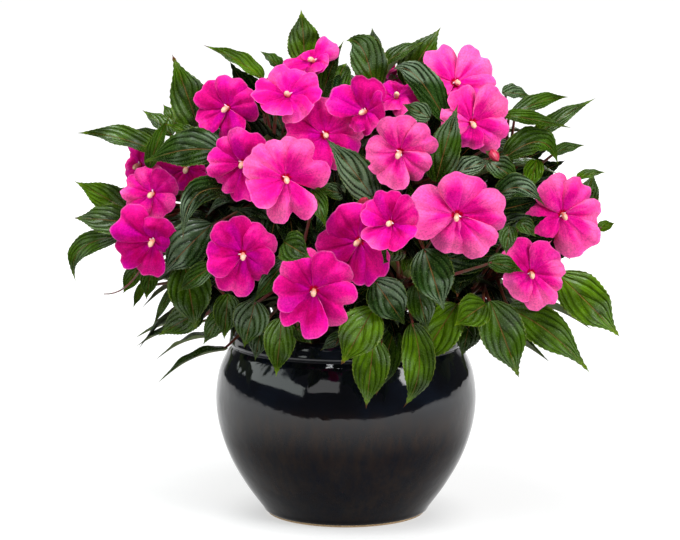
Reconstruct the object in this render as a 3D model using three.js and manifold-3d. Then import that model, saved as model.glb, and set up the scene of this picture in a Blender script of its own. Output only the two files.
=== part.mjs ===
// Potted New Guinea impatiens: a squat glazed pot, its soil, leafy stems, open blooms and buds.
// Units are millimetres, +Z is up, the front of the plant faces -Y and the pot stands on z = 0.
import * as THREE from 'three';
import { mergeVertices } from 'three/addons/utils/BufferGeometryUtils.js';
import Module from 'manifold-3d';

const wasm = await Module();
wasm.setup();

// Driving dimensions
const POT = {
  footRadius: 61,
  bellyRadius: 104.5,
  bellyHeight: 94,
  neckRadius: 93,
  neckHeight: 136,
  rimRadius: 92,
  rimHeight: 151,
  wall: 7,
  floor: 8,
  sides: 26,
};
const SOIL_TOP = 138;
const SOIL_CROWN = 4;
const SOIL_SIDES = 13;
const GAP = 0.35;
const STEM = { foot: 100, lowRadius: 4.2, highRadius: 3.2, sides: 5, steps: 5, lean: 0.45 };
const LEAVES_PER_KNOT = 4;
const LEAF_THICKNESS = 0.9;
const LEAF_STALK = 2.6;
const LEAF_FOLD = 0.3;
const PETAL_THICKNESS = 0.8;
const PETAL_TILT = 0.16;
const PETAL_ROOT = 2.8;
const FLOWER_STALK = 1.1;
const SPUR_LENGTH = 44;
const SPURRED = 8;
const MOUND = { centre: new THREE.Vector3(0, 0, 200), half: new THREE.Vector3(186, 165, 172) };
const LONGEST_STALK = 95;

// The photograph's camera: a pixel and a depth along +Y give a point of the plant.
const CAMERA = { eye: new THREE.Vector3(-4.8, -2200, 510), pitch: 8.12, focal: 2779 };
const IMAGE_CENTRE = { x: 340, y: 270 };

const UP = new THREE.Vector3(0, 0, 1);
const degrees = THREE.MathUtils.degToRad;

function sightLine(px, py) {
  const right = (px - IMAGE_CENTRE.x) / CAMERA.focal;
  const lift = (IMAGE_CENTRE.y - py) / CAMERA.focal;
  const pitch = degrees(CAMERA.pitch);
  const forward = Math.cos(pitch) + lift * Math.sin(pitch);
  const rise = lift * Math.cos(pitch) - Math.sin(pitch);
  return new THREE.Vector3(right, forward, rise).normalize();
}

function seenPoint([px, py, depth], slide = 0) {
  const line = sightLine(px, py);
  const reach = (depth - CAMERA.eye.y) / line.y + slide;
  return CAMERA.eye.clone().addScaledVector(line, reach);
}

// Repeatable random numbers between 0 and 1
function seededRandom(seed) {
  let state = seed >>> 0;
  return () => {
    state = (Math.imul(state, 1664525) + 1013904223) >>> 0;
    return state / 4294967296;
  };
}

// Open blooms as the front view shows them: centre pixel with depth, the way each faces
// (degrees to the right and up), radius in mm, directions of its petals in the picture
// (degrees from the right, counter-clockwise) and how far it is cupped.
const SEEN_BLOOMS = [
  { at: [228, 108, -79], right: -25, up: 10, radius: 27, petals: [85, 150, 212, -75, 15] },
  { at: [288, 96, -96], right: 0, up: 45, radius: 33, petals: [90, 162, 234, -54, 18] },
  { at: [314, 62, -64], right: -20, up: 45, radius: 27, petals: [60, 130, 200, -90, -10] },
  { at: [243, 163, -112], right: -20, up: 5, radius: 29, petals: [75, 125, 180, 225, -80] },
  { at: [286, 178, -140], right: 0, up: 5, radius: 34, petals: [205, 150, 95, 32, -72] },
  { at: [325, 135, -108], right: 0, up: 20, radius: 32, petals: [100, 28, -44, -116, 172] },
  { at: [153, 194, -78], right: -10, up: 15, radius: 26, petals: [105, 165, 222, -50, 45] },
  { at: [154, 240, -90], right: -22, up: -5, radius: 33, petals: [148, 70, 205, 255, -30] },
  { at: [243, 254, -134], right: -5, up: 0, radius: 32, petals: [115, 190, -108, -30, 40] },
  { at: [314, 290, -152], right: -5, up: 0, radius: 34, petals: [-108, 185, 122, 50, -22] },
  { at: [360, 241, -150], right: -25, up: 8, radius: 36, petals: [128, 200, -95, -42, 40] },
  { at: [391, 223, -152], right: -10, up: 20, radius: 26, petals: [98, 28, -50, -130, 155], cup: 0.7 },
  { at: [400, 152, -124], right: -10, up: -5, radius: 28, petals: [95, 30, -38, -105, 190] },
  { at: [366, 112, -106], right: -35, up: 20, radius: 27, petals: [90, 162, 234, -54, 18], cup: 0.6 },
  { at: [396, 98, -84], right: 5, up: 55, radius: 23, petals: [90, 162, 234, -54, 18] },
  { at: [455, 83, -60], right: 15, up: 25, radius: 35, petals: [115, 38, -22, -85, 185] },
  { at: [472, 123, -88], right: 15, up: 5, radius: 32, petals: [112, 42, -28, -98, 172] },
  { at: [457, 215, -138], right: 5, up: 0, radius: 37, petals: [78, 5, -55, -100, 178] },
  { at: [562, 214, -56], right: 20, up: 0, radius: 34, petals: [112, 52, -5, -62, 200] },
  { at: [531, 273, -96], right: 8, up: 5, radius: 30, petals: [124, 52, -8, -68, -135] },
  { at: [187, 168, -66], right: -15, up: 5, radius: 24, petals: [90, 162, 234, -54, 18] },
  { at: [140, 165, -38], right: -30, up: 10, radius: 24, petals: [90, 162, 234, -54, 18] },
];

// Leaves as the front view shows them: blade base and tip with depth, a point halfway along
// where the blade arches, width in mm and the turn of its face from the viewer upwards.
const SEEN_LEAVES = [
  { from: [203, 142, -62], to: [172, 54, -60], width: 27, turn: 15 },
  { from: [263, 79, -60], to: [203, 45, -48], width: 20, turn: 55 },
  { from: [281, 70, -52], to: [260, 51, -46], width: 14, turn: 50 },
  { from: [305, 64, -28], to: [301, 9, -26], width: 26, turn: 5 },
  { from: [158, 152, -38], via: [115, 137, -34], to: [77, 133, -30], width: 24, turn: 50 },
  { from: [172, 136, -30], to: [142, 110, -16], width: 16, turn: 40 },
  { from: [162, 143, -48], to: [131, 129, -42], width: 14, turn: 45 },
  { from: [176, 126, -16], to: [163, 104, -8], width: 12, turn: 20 },
  { from: [149, 168, -72], to: [170, 115, -62], width: 13, turn: 25 },
  { from: [196, 138, -78], to: [165, 124, -70], width: 12, turn: 40 },
  { from: [222, 152, -122], via: [183, 144, -116], to: [142, 163, -106], width: 28, turn: 30 },
  { from: [130, 177, -26], to: [99, 171, -14], width: 12, turn: 50 },
  { from: [132, 214, -42], to: [74, 181, -34], width: 23, turn: 15 },
  { from: [132, 223, -62], to: [73, 218, -56], width: 24, turn: 15 },
  { from: [122, 236, -66], via: [80, 250, -58], to: [76, 282, -60], width: 17, turn: 20 },
  { from: [236, 191, -112], via: [196, 196, -128], to: [183, 242, -136], width: 21, turn: 20 },
  { from: [212, 224, -120], to: [162, 275, -114], width: 33, turn: 15 },
  { from: [184, 262, -92], to: [196, 330, -96], width: 33, turn: 5 },
  { from: [214, 265, -116], to: [177, 293, -108], width: 16, turn: 20 },
  { from: [202, 311, -74], to: [158, 336, -78], width: 23, turn: 15 },
  { from: [138, 266, -62], to: [123, 294, -62], width: 13, turn: 5 },
  { from: [152, 266, -70], to: [146, 300, -70], width: 14, turn: 5 },
  { from: [144, 283, -54], to: [133, 308, -54], width: 7, turn: 10 },
  { from: [174, 286, -68], to: [153, 326, -66], width: 7, turn: 10 },
  { from: [223, 311, -88], to: [203, 345, -90], width: 15, turn: 5 },
  { from: [228, 294, -112], to: [224, 340, -114], width: 20, turn: 0 },
  { from: [255, 301, -122], to: [244, 348, -124], width: 27, turn: 0 },
  { from: [262, 323, -104], to: [255, 361, -110], width: 18, turn: 0 },
  { from: [282, 318, -126], to: [276, 377, -132], width: 24, turn: 0 },
  { from: [286, 260, -148], to: [253, 303, -150], width: 15, turn: 5 },
  { from: [284, 242, -158], to: [311, 258, -172], width: 24, turn: 0 },
  { from: [314, 190, -146], to: [326, 228, -162], width: 14, turn: 5 },
  { from: [342, 194, -130], to: [314, 188, -152], width: 13, turn: 20 },
  { from: [374, 199, -112], to: [325, 137, -126], width: 27, turn: 15 },
  { from: [322, 100, -56], to: [344, 40, -50], width: 17, turn: 40 },
  { from: [374, 92, -72], via: [363, 50, -72], to: [346, 41, -70], width: 28, turn: 15 },
  { from: [375, 60, -40], to: [372, 27, -34], width: 12, turn: 5 },
  { from: [384, 64, -52], to: [424, 42, -46], width: 15, turn: 45 },
  { from: [404, 84, -62], to: [441, 27, -56], width: 26, turn: 10 },
  { from: [446, 122, -98], via: [416, 76, -90], to: [392, 70, -88], width: 24, turn: 25 },
  { from: [430, 118, -112], to: [402, 104, -112], width: 15, turn: 20 },
  { from: [436, 182, -124], to: [458, 104, -120], width: 25, turn: 5 },
  { from: [486, 104, -112], to: [488, 71, -104], width: 11, turn: 5 },
  { from: [502, 93, -46], to: [532, 97, -38], width: 16, turn: 50 },
  { from: [512, 115, -56], via: [543, 101, -50], to: [569, 97, -46], width: 15, turn: 35 },
  { from: [529, 142, -50], to: [596, 98, -40], width: 15, turn: 30 },
  { from: [505, 115, -76], via: [536, 120, -78], to: [572, 128, -74], width: 13, turn: 35 },
  { from: [505, 158, -86], via: [540, 142, -84], to: [558, 165, -88], width: 25, turn: 40 },
  { from: [552, 154, -44], to: [585, 145, -32], width: 11, turn: 40 },
  { from: [488, 147, -108], via: [505, 148, -112], to: [513, 166, -116], width: 11, turn: 30 },
  { from: [456, 174, -116], to: [491, 160, -108], width: 18, turn: 30 },
  { from: [488, 161, -98], to: [520, 184, -104], width: 20, turn: 30 },
  { from: [537, 160, -84], to: [529, 192, -92], width: 15, turn: 10 },
  { from: [498, 196, -112], via: [521, 188, -116], to: [545, 206, -118], width: 22, turn: 35 },
  { from: [577, 178, -28], to: [606, 172, -18], width: 9, turn: 40 },
  { from: [584, 212, -20], to: [594, 172, -10], width: 18, turn: 5 },
  { from: [598, 229, -34], to: [615, 223, -28], width: 9, turn: 20 },
  { from: [558, 274, -66], to: [620, 337, -76], width: 34, turn: 10 },
  { from: [506, 308, -86], via: [549, 332, -92], to: [590, 373, -98], width: 30, turn: 10 },
  { from: [490, 301, -102], to: [519, 378, -110], width: 34, turn: 5 },
  { from: [486, 304, -122], to: [454, 326, -128], width: 26, turn: 10 },
  { from: [457, 304, -114], to: [416, 368, -120], width: 32, turn: 5 },
  { from: [374, 308, -136], to: [341, 365, -142], width: 32, turn: 0 },
  { from: [374, 339, -118], to: [366, 409, -124], width: 28, turn: 0 },
  { from: [394, 330, -102], to: [376, 396, -106], width: 24, turn: 5 },
  { from: [412, 323, -126], via: [419, 370, -130], to: [403, 408, -122], width: 25, turn: 5 },
  { from: [374, 280, -138], to: [405, 325, -140], width: 30, turn: 5 },
  { from: [416, 284, -116], to: [428, 332, -118], width: 22, turn: 5 },
  { from: [424, 249, -126], to: [444, 311, -136], width: 32, turn: 5 },
  { from: [472, 315, -84], to: [462, 357, -90], width: 24, turn: 5 },
  { from: [399, 247, -156], to: [383, 264, -164], width: 20, turn: 20 },
  { from: [510, 226, -112], to: [506, 255, -118], width: 14, turn: 10 },
  { from: [519, 221, -108], to: [536, 237, -114], width: 13, turn: 20 },
  { from: [488, 262, -116], to: [524, 272, -116], width: 16, turn: 30 },
  { from: [347, 333, -116], to: [320, 351, -114], width: 11, turn: 20 },
  { from: [270, 321, -116], via: [282, 333, -118], to: [297, 334, -118], width: 8, turn: 20 },
  { from: [296, 328, -134], to: [312, 344, -138], width: 13, turn: 10 },
];

// Closed buds in the front view
const SEEN_BUDS = [
  { at: [363, 203, -136], right: 25, up: 30 },
  { at: [494, 155, -120], right: 20, up: -25 },
];

// Rules for the sides and back, which the front view hides
const REST = {
  seed: 41,
  blooms: 11,
  buds: 2,
  leaves: 60,
  bloomRadius: 31,
  leafLength: 70,
  leafWidth: 28,
};

// Crowns of the leafy stems inside the mound: one at the top, five round the shoulders at
// each height in front, and five behind
const CROWNS = [
  [5, 0, 325],
  [-60, -60, 290],
  [60, -60, 290],
  [-125, -10, 265],
  [130, -10, 270],
  [-110, -50, 200],
  [-45, -110, 205],
  [45, -110, 205],
  [120, -45, 200],
  [-65, 70, 285],
  [65, 70, 285],
  [-95, 85, 200],
  [0, 118, 210],
  [95, 85, 200],
];

// Solids from plain vertices and triangles
function solidFrom(vertices, triangles) {
  let volume = 0;
  for (const [a, b, c] of triangles) {
    volume += vertices[a].dot(new THREE.Vector3().crossVectors(vertices[b], vertices[c]));
  }
  const outward = volume < 0 ? triangles.map(([a, b, c]) => [a, c, b]) : triangles;
  const vertProperties = new Float32Array(vertices.flatMap((v) => v.toArray()));
  const triVerts = new Uint32Array(outward.flat());
  return new wasm.Manifold(new wasm.Mesh({ numProp: 3, vertProperties, triVerts }));
}

function solidOf(geometry) {
  const bare = geometry.clone();
  bare.deleteAttribute('normal');
  bare.deleteAttribute('uv');
  const merged = mergeVertices(bare, 1e-3);
  const place = merged.attributes.position;
  const vertices = [];
  for (let i = 0; i < place.count; i += 1) {
    vertices.push(new THREE.Vector3().fromBufferAttribute(place, i));
  }
  const index = Array.from(merged.index.array);
  const triangles = [];
  for (let i = 0; i < index.length; i += 3) {
    const [a, b, c] = index.slice(i, i + 3);
    if (a !== b && b !== c && c !== a) {
      triangles.push([a, b, c]);
    }
  }
  return solidFrom(vertices, triangles);
}

function geometryOf(solid) {
  const mesh = solid.getMesh();
  const geometry = new THREE.BufferGeometry();
  geometry.setAttribute('position', new THREE.BufferAttribute(new Float32Array(mesh.vertProperties), 3));
  geometry.setIndex(new THREE.BufferAttribute(new Uint32Array(mesh.triVerts), 1));
  geometry.computeVertexNormals();
  return geometry;
}

// A blade: one sheet of triangles used alike on both faces, joined along its rim
function plate(points, normals, faces, thickness) {
  const count = points.length;
  const front = points.map((p, i) => p.clone().addScaledVector(normals[i], thickness / 2));
  const back = points.map((p, i) => p.clone().addScaledVector(normals[i], -thickness / 2));
  const triangles = [];
  const edges = new Map();
  for (const [a, b, c] of faces) {
    triangles.push([a, b, c], [c + count, b + count, a + count]);
    for (const [start, end] of [[a, b], [b, c], [c, a]]) {
      edges.set(`${start},${end}`, [start, end]);
    }
  }
  for (const [start, end] of edges.values()) {
    if (!edges.has(`${end},${start}`)) {
      triangles.push([end, start, start + count], [end, start + count, end + count]);
    }
  }
  return solidFrom([...front, ...back], triangles);
}

// A round rod along a curve, tapered from its first to its last radius
function rod(curve, startRadius, endRadius, sides, steps) {
  const frames = curve.computeFrenetFrames(steps, false);
  const vertices = [];
  for (let i = 0; i <= steps; i += 1) {
    const centre = curve.getPointAt(i / steps);
    const radius = THREE.MathUtils.lerp(startRadius, endRadius, i / steps);
    for (let k = 0; k < sides; k += 1) {
      const turn = (2 * Math.PI * k) / sides;
      vertices.push(centre.clone()
        .addScaledVector(frames.normals[i], radius * Math.cos(turn))
        .addScaledVector(frames.binormals[i], radius * Math.sin(turn)));
    }
  }
  const triangles = [];
  for (let i = 0; i < steps; i += 1) {
    for (let k = 0; k < sides; k += 1) {
      const here = i * sides + k;
      const next = i * sides + ((k + 1) % sides);
      triangles.push([here, next, next + sides], [here, next + sides, here + sides]);
    }
  }
  const last = steps * sides;
  for (let k = 1; k < sides - 1; k += 1) {
    triangles.push([0, k + 1, k], [last, last + k, last + k + 1]);
  }
  return solidFrom(vertices, triangles);
}

function boxOf(solid) {
  const { min, max } = solid.boundingBox();
  return new THREE.Box3(new THREE.Vector3(...min), new THREE.Vector3(...max));
}

// Everything placed so far, with a slightly fatter copy that others stay clear of
const placed = [];

function place(node, solid, fat) {
  placed.push({ node, solid, fat, box: boxOf(fat) });
}

function isClear(node, solid) {
  const box = boxOf(solid);
  return placed.every((other) => (
    other.node === node
    || !box.intersectsBox(other.box)
    || other.fat.intersect(solid).volume() < 1e-4
  ));
}

// The pot: foot, round belly, neck groove and an upright rim, hollow inside
function potProfile() {
  const inner = POT.wall;
  return [
    new THREE.Vector2(0, 0),
    new THREE.Vector2(POT.footRadius, 0),
    new THREE.Vector2(POT.footRadius + 6, 5),
    new THREE.Vector2(82, 26),
    new THREE.Vector2(94, 48),
    new THREE.Vector2(102, 72),
    new THREE.Vector2(POT.bellyRadius, POT.bellyHeight),
    new THREE.Vector2(102, 115),
    new THREE.Vector2(96, 130),
    new THREE.Vector2(POT.neckRadius - 1, POT.neckHeight),
    new THREE.Vector2(POT.neckRadius + 1, POT.neckHeight + 3),
    new THREE.Vector2(POT.rimRadius, POT.rimHeight - 2),
    new THREE.Vector2(POT.rimRadius - 3, POT.rimHeight),
    new THREE.Vector2(POT.neckRadius - inner, POT.rimHeight - 2),
    new THREE.Vector2(POT.neckRadius - inner, POT.neckHeight),
    new THREE.Vector2(POT.bellyRadius - inner, POT.bellyHeight),
    new THREE.Vector2(94 - inner, 48),
    new THREE.Vector2(POT.footRadius, POT.floor + 6),
    new THREE.Vector2(0, POT.floor),
  ];
}

function soilProfile() {
  const inner = POT.wall + GAP * 2;
  return [
    new THREE.Vector2(0, POT.floor + GAP * 2),
    new THREE.Vector2(POT.footRadius - GAP * 2, POT.floor + 6 + GAP * 2),
    new THREE.Vector2(94 - inner, 48 + GAP),
    new THREE.Vector2(POT.bellyRadius - inner, POT.bellyHeight),
    new THREE.Vector2(POT.neckRadius - inner, POT.neckHeight),
    new THREE.Vector2(POT.neckRadius - inner, SOIL_TOP - 1),
    new THREE.Vector2(50, SOIL_TOP + SOIL_CROWN / 2),
    new THREE.Vector2(0, SOIL_TOP + SOIL_CROWN),
  ];
}

function lathe(profile, sides) {
  const geometry = new THREE.LatheGeometry(profile, sides);
  geometry.rotateX(Math.PI / 2);
  return solidOf(geometry);
}

// A stem rises from its hole, then leans out to its crown
function stemCurve(hole, crown, drop) {
  const foot = new THREE.Vector3(hole.x, hole.y, STEM.foot - drop);
  const bend = new THREE.Vector3(hole.x, hole.y, THREE.MathUtils.lerp(STEM.foot, crown.z, 0.62));
  return new THREE.QuadraticBezierCurve3(foot, bend, crown);
}

const stems = [];
for (const spot of CROWNS) {
  const crown = new THREE.Vector3(...spot);
  const hole = crown.clone().multiplyScalar(STEM.lean);
  const node = `leafy_stem_${String(stems.length + 1).padStart(2, '0')}`;
  const curve = stemCurve(hole, crown, 0);
  const fatCurve = stemCurve(hole, crown, GAP);
  const solid = rod(curve, STEM.lowRadius, STEM.highRadius, STEM.sides, STEM.steps);
  const fat = rod(fatCurve, STEM.lowRadius + GAP, STEM.highRadius + GAP, STEM.sides, STEM.steps);
  place(node, solid, fat);
  stems.push({ node, curve });
}

const potSolid = lathe(potProfile(), POT.sides);
place('pot', potSolid, potSolid);

let soilSolid = lathe(soilProfile(), SOIL_SIDES);
for (const stem of placed.filter((piece) => piece.node.startsWith('leafy_stem'))) {
  soilSolid = soilSolid.subtract(stem.fat);
}
place('soil', soilSolid, soilSolid);

// The knots of a stem are where its leaf stalks and flower stalks grow
const KNOT_STATIONS = [2, 2.4, 2.8, 3.2, 3.6, 4, 4.4, 4.9].map((step) => step / STEM.steps);
const knots = stems.flatMap(({ node, curve }) => (
  KNOT_STATIONS.map((station) => ({ node, at: curve.getPointAt(station), leaves: 0 }))
));

function knotsNear(point) {
  const reach = (knot) => knot.at.distanceTo(point);
  return knots.filter((knot) => reach(knot) < LONGEST_STALK).sort((a, b) => reach(a) - reach(b));
}

// A petal: a notched sheet in its flower's own frame, root in the middle of the flower
function petal(flower, angle, spread, grow) {
  const reach = flower.radius * (1 + 0.05 * Math.sin(3 * angle)) + grow;
  const half = 0.5 * flower.radius * spread + grow;
  const along = new THREE.Vector3(Math.cos(angle), Math.sin(angle), 0);
  const across = new THREE.Vector3(-Math.sin(angle), Math.cos(angle), 0);
  const tilt = PETAL_TILT;
  const outline = [
    [PETAL_ROOT, 0, 0],
    [0.6 * reach, -half, -tilt * half],
    [0.97 * reach, -0.5 * half, -tilt * 0.5 * half],
    [0.9 * reach, 0, 0],
    [0.97 * reach, 0.5 * half, tilt * 0.5 * half],
    [0.6 * reach, half, tilt * half],
    [0.55 * reach, 0, -0.02 * reach],
  ];
  const centre = outline.length - 1;
  const points = outline.map(([out, side, height]) => {
    const cupped = flower.cup * flower.radius * (out / flower.radius) ** 2;
    return new THREE.Vector3(0, 0, height + cupped)
      .addScaledVector(along, out)
      .addScaledVector(across, side)
      .applyMatrix4(flower.matrix);
  });
  const facing = new THREE.Vector3(0, 0, 1).addScaledVector(along, -flower.cup).normalize();
  facing.transformDirection(flower.matrix);
  const faces = [];
  for (let i = 0; i < centre; i += 1) {
    faces.push([centre, i, (i + 1) % centre]);
  }
  return plate(points, points.map(() => facing), faces, PETAL_THICKNESS + 2 * grow);
}

// The flower's middle: a small green base behind, a rounded column in front
function flowerHeart(flower, grow) {
  const profile = [
    new THREE.Vector2(0, -3.4 - grow),
    new THREE.Vector2(4.4 + grow, -0.6),
    new THREE.Vector2(2.2 + grow, 4.6),
    new THREE.Vector2(0, 6.2 + grow),
  ];
  const geometry = new THREE.LatheGeometry(profile, 4);
  geometry.rotateX(Math.PI / 2);
  geometry.applyMatrix4(flower.matrix);
  return solidOf(geometry);
}

function flowerSpur(flower, grow) {
  const back = (height, sink) => new THREE.Vector3(0, 0, -height)
    .applyMatrix4(flower.matrix)
    .addScaledVector(UP, -sink);
  const curve = new THREE.QuadraticBezierCurve3(
    back(1, 0),
    back(0.5 * SPUR_LENGTH, 0.1 * SPUR_LENGTH),
    back(0.6 * SPUR_LENGTH, 0.8 * SPUR_LENGTH),
  );
  return rod(curve, 1.1 + grow, 0.5 + grow, 3, 3);
}

function together(solids) {
  return solids.reduce((whole, solid) => whole.add(solid));
}

// A frame at a place whose local +Z is the way the flower faces and local +Y is up
function facingMatrix(position, facing) {
  const side = new THREE.Vector3().crossVectors(UP, facing).normalize();
  const top = new THREE.Vector3().crossVectors(facing, side).normalize();
  return new THREE.Matrix4().makeBasis(side, top, facing).setPosition(position);
}

function directionOf(right, up) {
  const spin = degrees(right);
  const lift = degrees(up);
  return new THREE.Vector3(
    Math.sin(spin) * Math.cos(lift),
    -Math.cos(spin) * Math.cos(lift),
    Math.sin(lift),
  );
}

// A petal is wide where its neighbours leave it room and narrow where they crowd it
function petalSpread(angles, angle) {
  const away = angles.filter((other) => other !== angle)
    .map((other) => THREE.MathUtils.euclideanModulo(other - angle, 360));
  const room = Math.min(...away) + 360 - Math.max(...away);
  return THREE.MathUtils.clamp(room / 144, 0.75, 1.3);
}

function flowerHead(flower, grow) {
  const solids = flower.petals.map((angle) => (
    petal(flower, degrees(angle), petalSpread(flower.petals, angle), grow)
  ));
  return together([flowerHeart(flower, grow), ...solids]);
}

const SLIDES = [0, 6, -6, 12, -12, 18, -18, 24, -24, 32, -32, 42, -42, 54];

// The slides of a seen piece lie along its line of sight, so the front view stays the same
function seenFlowers(seen) {
  const facing = directionOf(seen.right, seen.up);
  return SLIDES.map((slide) => ({
    radius: seen.radius,
    petals: seen.petals,
    cup: seen.cup ?? 0.22,
    matrix: facingMatrix(seenPoint(seen.at, slide), facing),
  }));
}

// Where a direction from the middle of the mound meets its skin
function moundPoint(direction, share) {
  const { centre, half } = MOUND;
  const stretch = 1 / direction.clone().divide(half).length();
  return centre.clone().addScaledVector(direction, stretch * share);
}

function restFlowers(random, index) {
  const turn = (index * 0.618034 + 0.1) % 1;
  const side = 82 + 196 * turn + 8 * (random() - 0.5);
  const lift = 4 + 66 * ((index + 0.5) / REST.blooms) + 8 * (random() - 0.5);
  const first = 72 * random();
  const size = REST.bloomRadius + 6 * (random() - 0.5);
  const direction = directionOf(side, lift);
  const facing = directionOf(side + 20 * (random() - 0.5), lift + 14 * (random() - 0.5));
  return SLIDES.map((slide) => ({
    radius: size,
    petals: [0, 1, 2, 3, 4].map((k) => first + 72 * k),
    cup: 0.22,
    matrix: facingMatrix(moundPoint(direction, 0.93).addScaledVector(direction, slide), facing),
  }));
}

// Flower stalks: from behind the head, back and round to a knot of a stem. Each way of bending
// is a share of the stalk's length straight back and a share of it upwards.
const STALK_BENDS = [[0.45, 0], [0.2, 0], [0.75, 0], [0.3, -0.35], [0.3, 0.35], [0.6, -0.6], [0.6, 0.6]];

function stalkCurve(flower, knot, [back, rise]) {
  const start = new THREE.Vector3(0, 0, -2).applyMatrix4(flower.matrix);
  const reach = knot.at.distanceTo(start);
  const bend = new THREE.Vector3(0, 0, -2 - back * reach).applyMatrix4(flower.matrix);
  bend.addScaledVector(UP, rise * reach);
  return new THREE.QuadraticBezierCurve3(start, bend, knot.at);
}

// Stalk from a flower to the nearest knot that it can reach past everything else
function addStalk(node, flower) {
  const head = new THREE.Vector3().setFromMatrixPosition(flower.matrix);
  const inward = head.lerp(MOUND.centre, 0.35);
  for (const knot of knotsNear(inward)) {
    const stem = placed.find((piece) => piece.node === knot.node);
    for (const bend of STALK_BENDS) {
      const curve = stalkCurve(flower, knot, bend);
      const stalk = rod(curve, FLOWER_STALK, FLOWER_STALK, 3, 2).subtract(stem.fat);
      if (isClear(node, stalk)) {
        const fat = rod(curve, FLOWER_STALK + GAP, FLOWER_STALK + GAP, 3, 2).subtract(stem.solid);
        place(node, stalk, fat);
        return true;
      }
    }
  }
  return false;
}

// The first of the places for a flower or bud where both it and its stalk are clear
function addFlower(node, candidates, headSolid) {
  for (const flower of candidates) {
    const solid = headSolid(flower, 0);
    if (isClear(node, solid)) {
      place(node, solid, headSolid(flower, GAP));
      if (addStalk(node, flower)) {
        return flower;
      }
      placed.pop();
    }
  }
  return null;
}

function bloomName(number) {
  return `bloom_${String(number).padStart(2, '0')}`;
}

const flowers = SEEN_BLOOMS.map((seen, i) => (
  addFlower(bloomName(i + 1), seenFlowers(seen), flowerHead)
));
const bloomRandom = seededRandom(REST.seed);
for (let i = 0; i < REST.blooms; i += 1) {
  addFlower(bloomName(SEEN_BLOOMS.length + i + 1), restFlowers(bloomRandom, i), flowerHead);
}

// The one spur that shows hangs below its flower
function addSpur(number) {
  const node = bloomName(number);
  const flower = flowers[number - 1];
  const spur = flowerSpur(flower, 0);
  if (isClear(node, spur)) {
    place(node, spur, flowerSpur(flower, GAP));
  }
}

addSpur(SPURRED);

// Buds: a pointed egg on a short stalk
function budSolid(flower, grow) {
  const profile = [
    new THREE.Vector2(0, -7 - grow),
    new THREE.Vector2(3.8 + grow, -2),
    new THREE.Vector2(3.4 + grow, 4),
    new THREE.Vector2(0, 9 + grow),
  ];
  const geometry = new THREE.LatheGeometry(profile, 6);
  geometry.rotateX(Math.PI / 2);
  geometry.applyMatrix4(flower.matrix);
  return solidOf(geometry);
}

SEEN_BUDS.forEach((seen, i) => {
  addFlower(`bud_${i + 1}`, seenFlowers({ ...seen, radius: 0, petals: [] }), budSolid);
});
const budRandom = seededRandom(REST.seed + 1);
for (let i = 0; i < REST.buds; i += 1) {
  addFlower(`bud_${SEEN_BUDS.length + i + 1}`, restFlowers(budRandom, 2 * i + 3), budSolid);
}

// Width along a blade as shares of its length and of its full width
const LARGE_BLADE = [[0.22, 0.84], [0.46, 1], [0.76, 0.56]];
const SMALL_BLADE = [[0.32, 1], [0.68, 0.66]];
const LARGE_WIDTH = 29;

function bladeCurve({ base, bend, tip }) {
  return new THREE.QuadraticBezierCurve3(base, bend, tip);
}

function bladeSide(leaf) {
  return new THREE.Vector3().crossVectors(bladeCurve(leaf).getTangent(0), leaf.facing).normalize();
}

// A stalk can't come in along the blade's own width or from in front of it
function stalkFits(leaf, start) {
  const along = leaf.base.clone().sub(start).normalize();
  const inLine = along.dot(bladeCurve(leaf).getTangent(0));
  return Math.abs(along.dot(bladeSide(leaf))) < 0.85 && inLine > -0.3;
}

// A leaf: a stalk from the stem, then a folded blade that widens and runs out to a point
function leafSolid(leaf, start, grow) {
  const curve = bladeCurve(leaf);
  const sideAtBase = bladeSide(leaf);
  const stalk = LEAF_STALK / 2 + grow;
  const points = [];
  const normals = [];
  const faces = [];
  const addPair = (centre, along) => {
    const side = sideAtBase.clone().addScaledVector(along, -sideAtBase.dot(along)).normalize();
    const normal = new THREE.Vector3().crossVectors(side, along).normalize();
    points.push(
      centre.clone().addScaledVector(side, -stalk),
      centre.clone().addScaledVector(side, stalk),
    );
    normals.push(normal, normal);
  };
  const addRow = (share, wide) => {
    const centre = curve.getPoint(share);
    const along = curve.getTangent(share);
    const side = new THREE.Vector3().crossVectors(along, leaf.facing).normalize();
    const normal = new THREE.Vector3().crossVectors(side, along).normalize();
    const span = (leaf.width * wide) / 2 + grow;
    points.push(
      centre.clone().addScaledVector(side, -span).addScaledVector(normal, LEAF_FOLD * span),
      centre,
      centre.clone().addScaledVector(side, span).addScaledVector(normal, LEAF_FOLD * span),
    );
    normals.push(normal, normal, normal);
  };
  const stalkAlong = curve.getTangent(0);
  if (start) {
    stalkAlong.copy(leaf.base).sub(start).normalize();
    addPair(start, stalkAlong);
    faces.push([0, 3, 2], [0, 1, 3]);
  }
  addPair(leaf.base, stalkAlong.add(curve.getTangent(0)).normalize());
  const first = points.length;
  faces.push([first - 2, first + 1, first], [first - 2, first - 1, first + 1]);
  faces.push([first - 1, first + 2, first + 1]);
  for (const [share, wide] of leaf.width > LARGE_WIDTH ? LARGE_BLADE : SMALL_BLADE) {
    addRow(share, wide);
  }
  points.push(leaf.tip.clone().addScaledVector(curve.getTangent(1), 2 * grow));
  normals.push(normals[normals.length - 1]);
  const end = points.length - 1;
  for (let left = first; left + 5 < end; left += 3) {
    faces.push([left, left + 1, left + 4], [left, left + 4, left + 3]);
    faces.push([left + 1, left + 2, left + 4], [left + 2, left + 5, left + 4]);
  }
  faces.push([end - 3, end - 2, end], [end - 2, end - 1, end]);
  return plate(points, normals, faces, LEAF_THICKNESS + 2 * grow);
}

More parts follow.
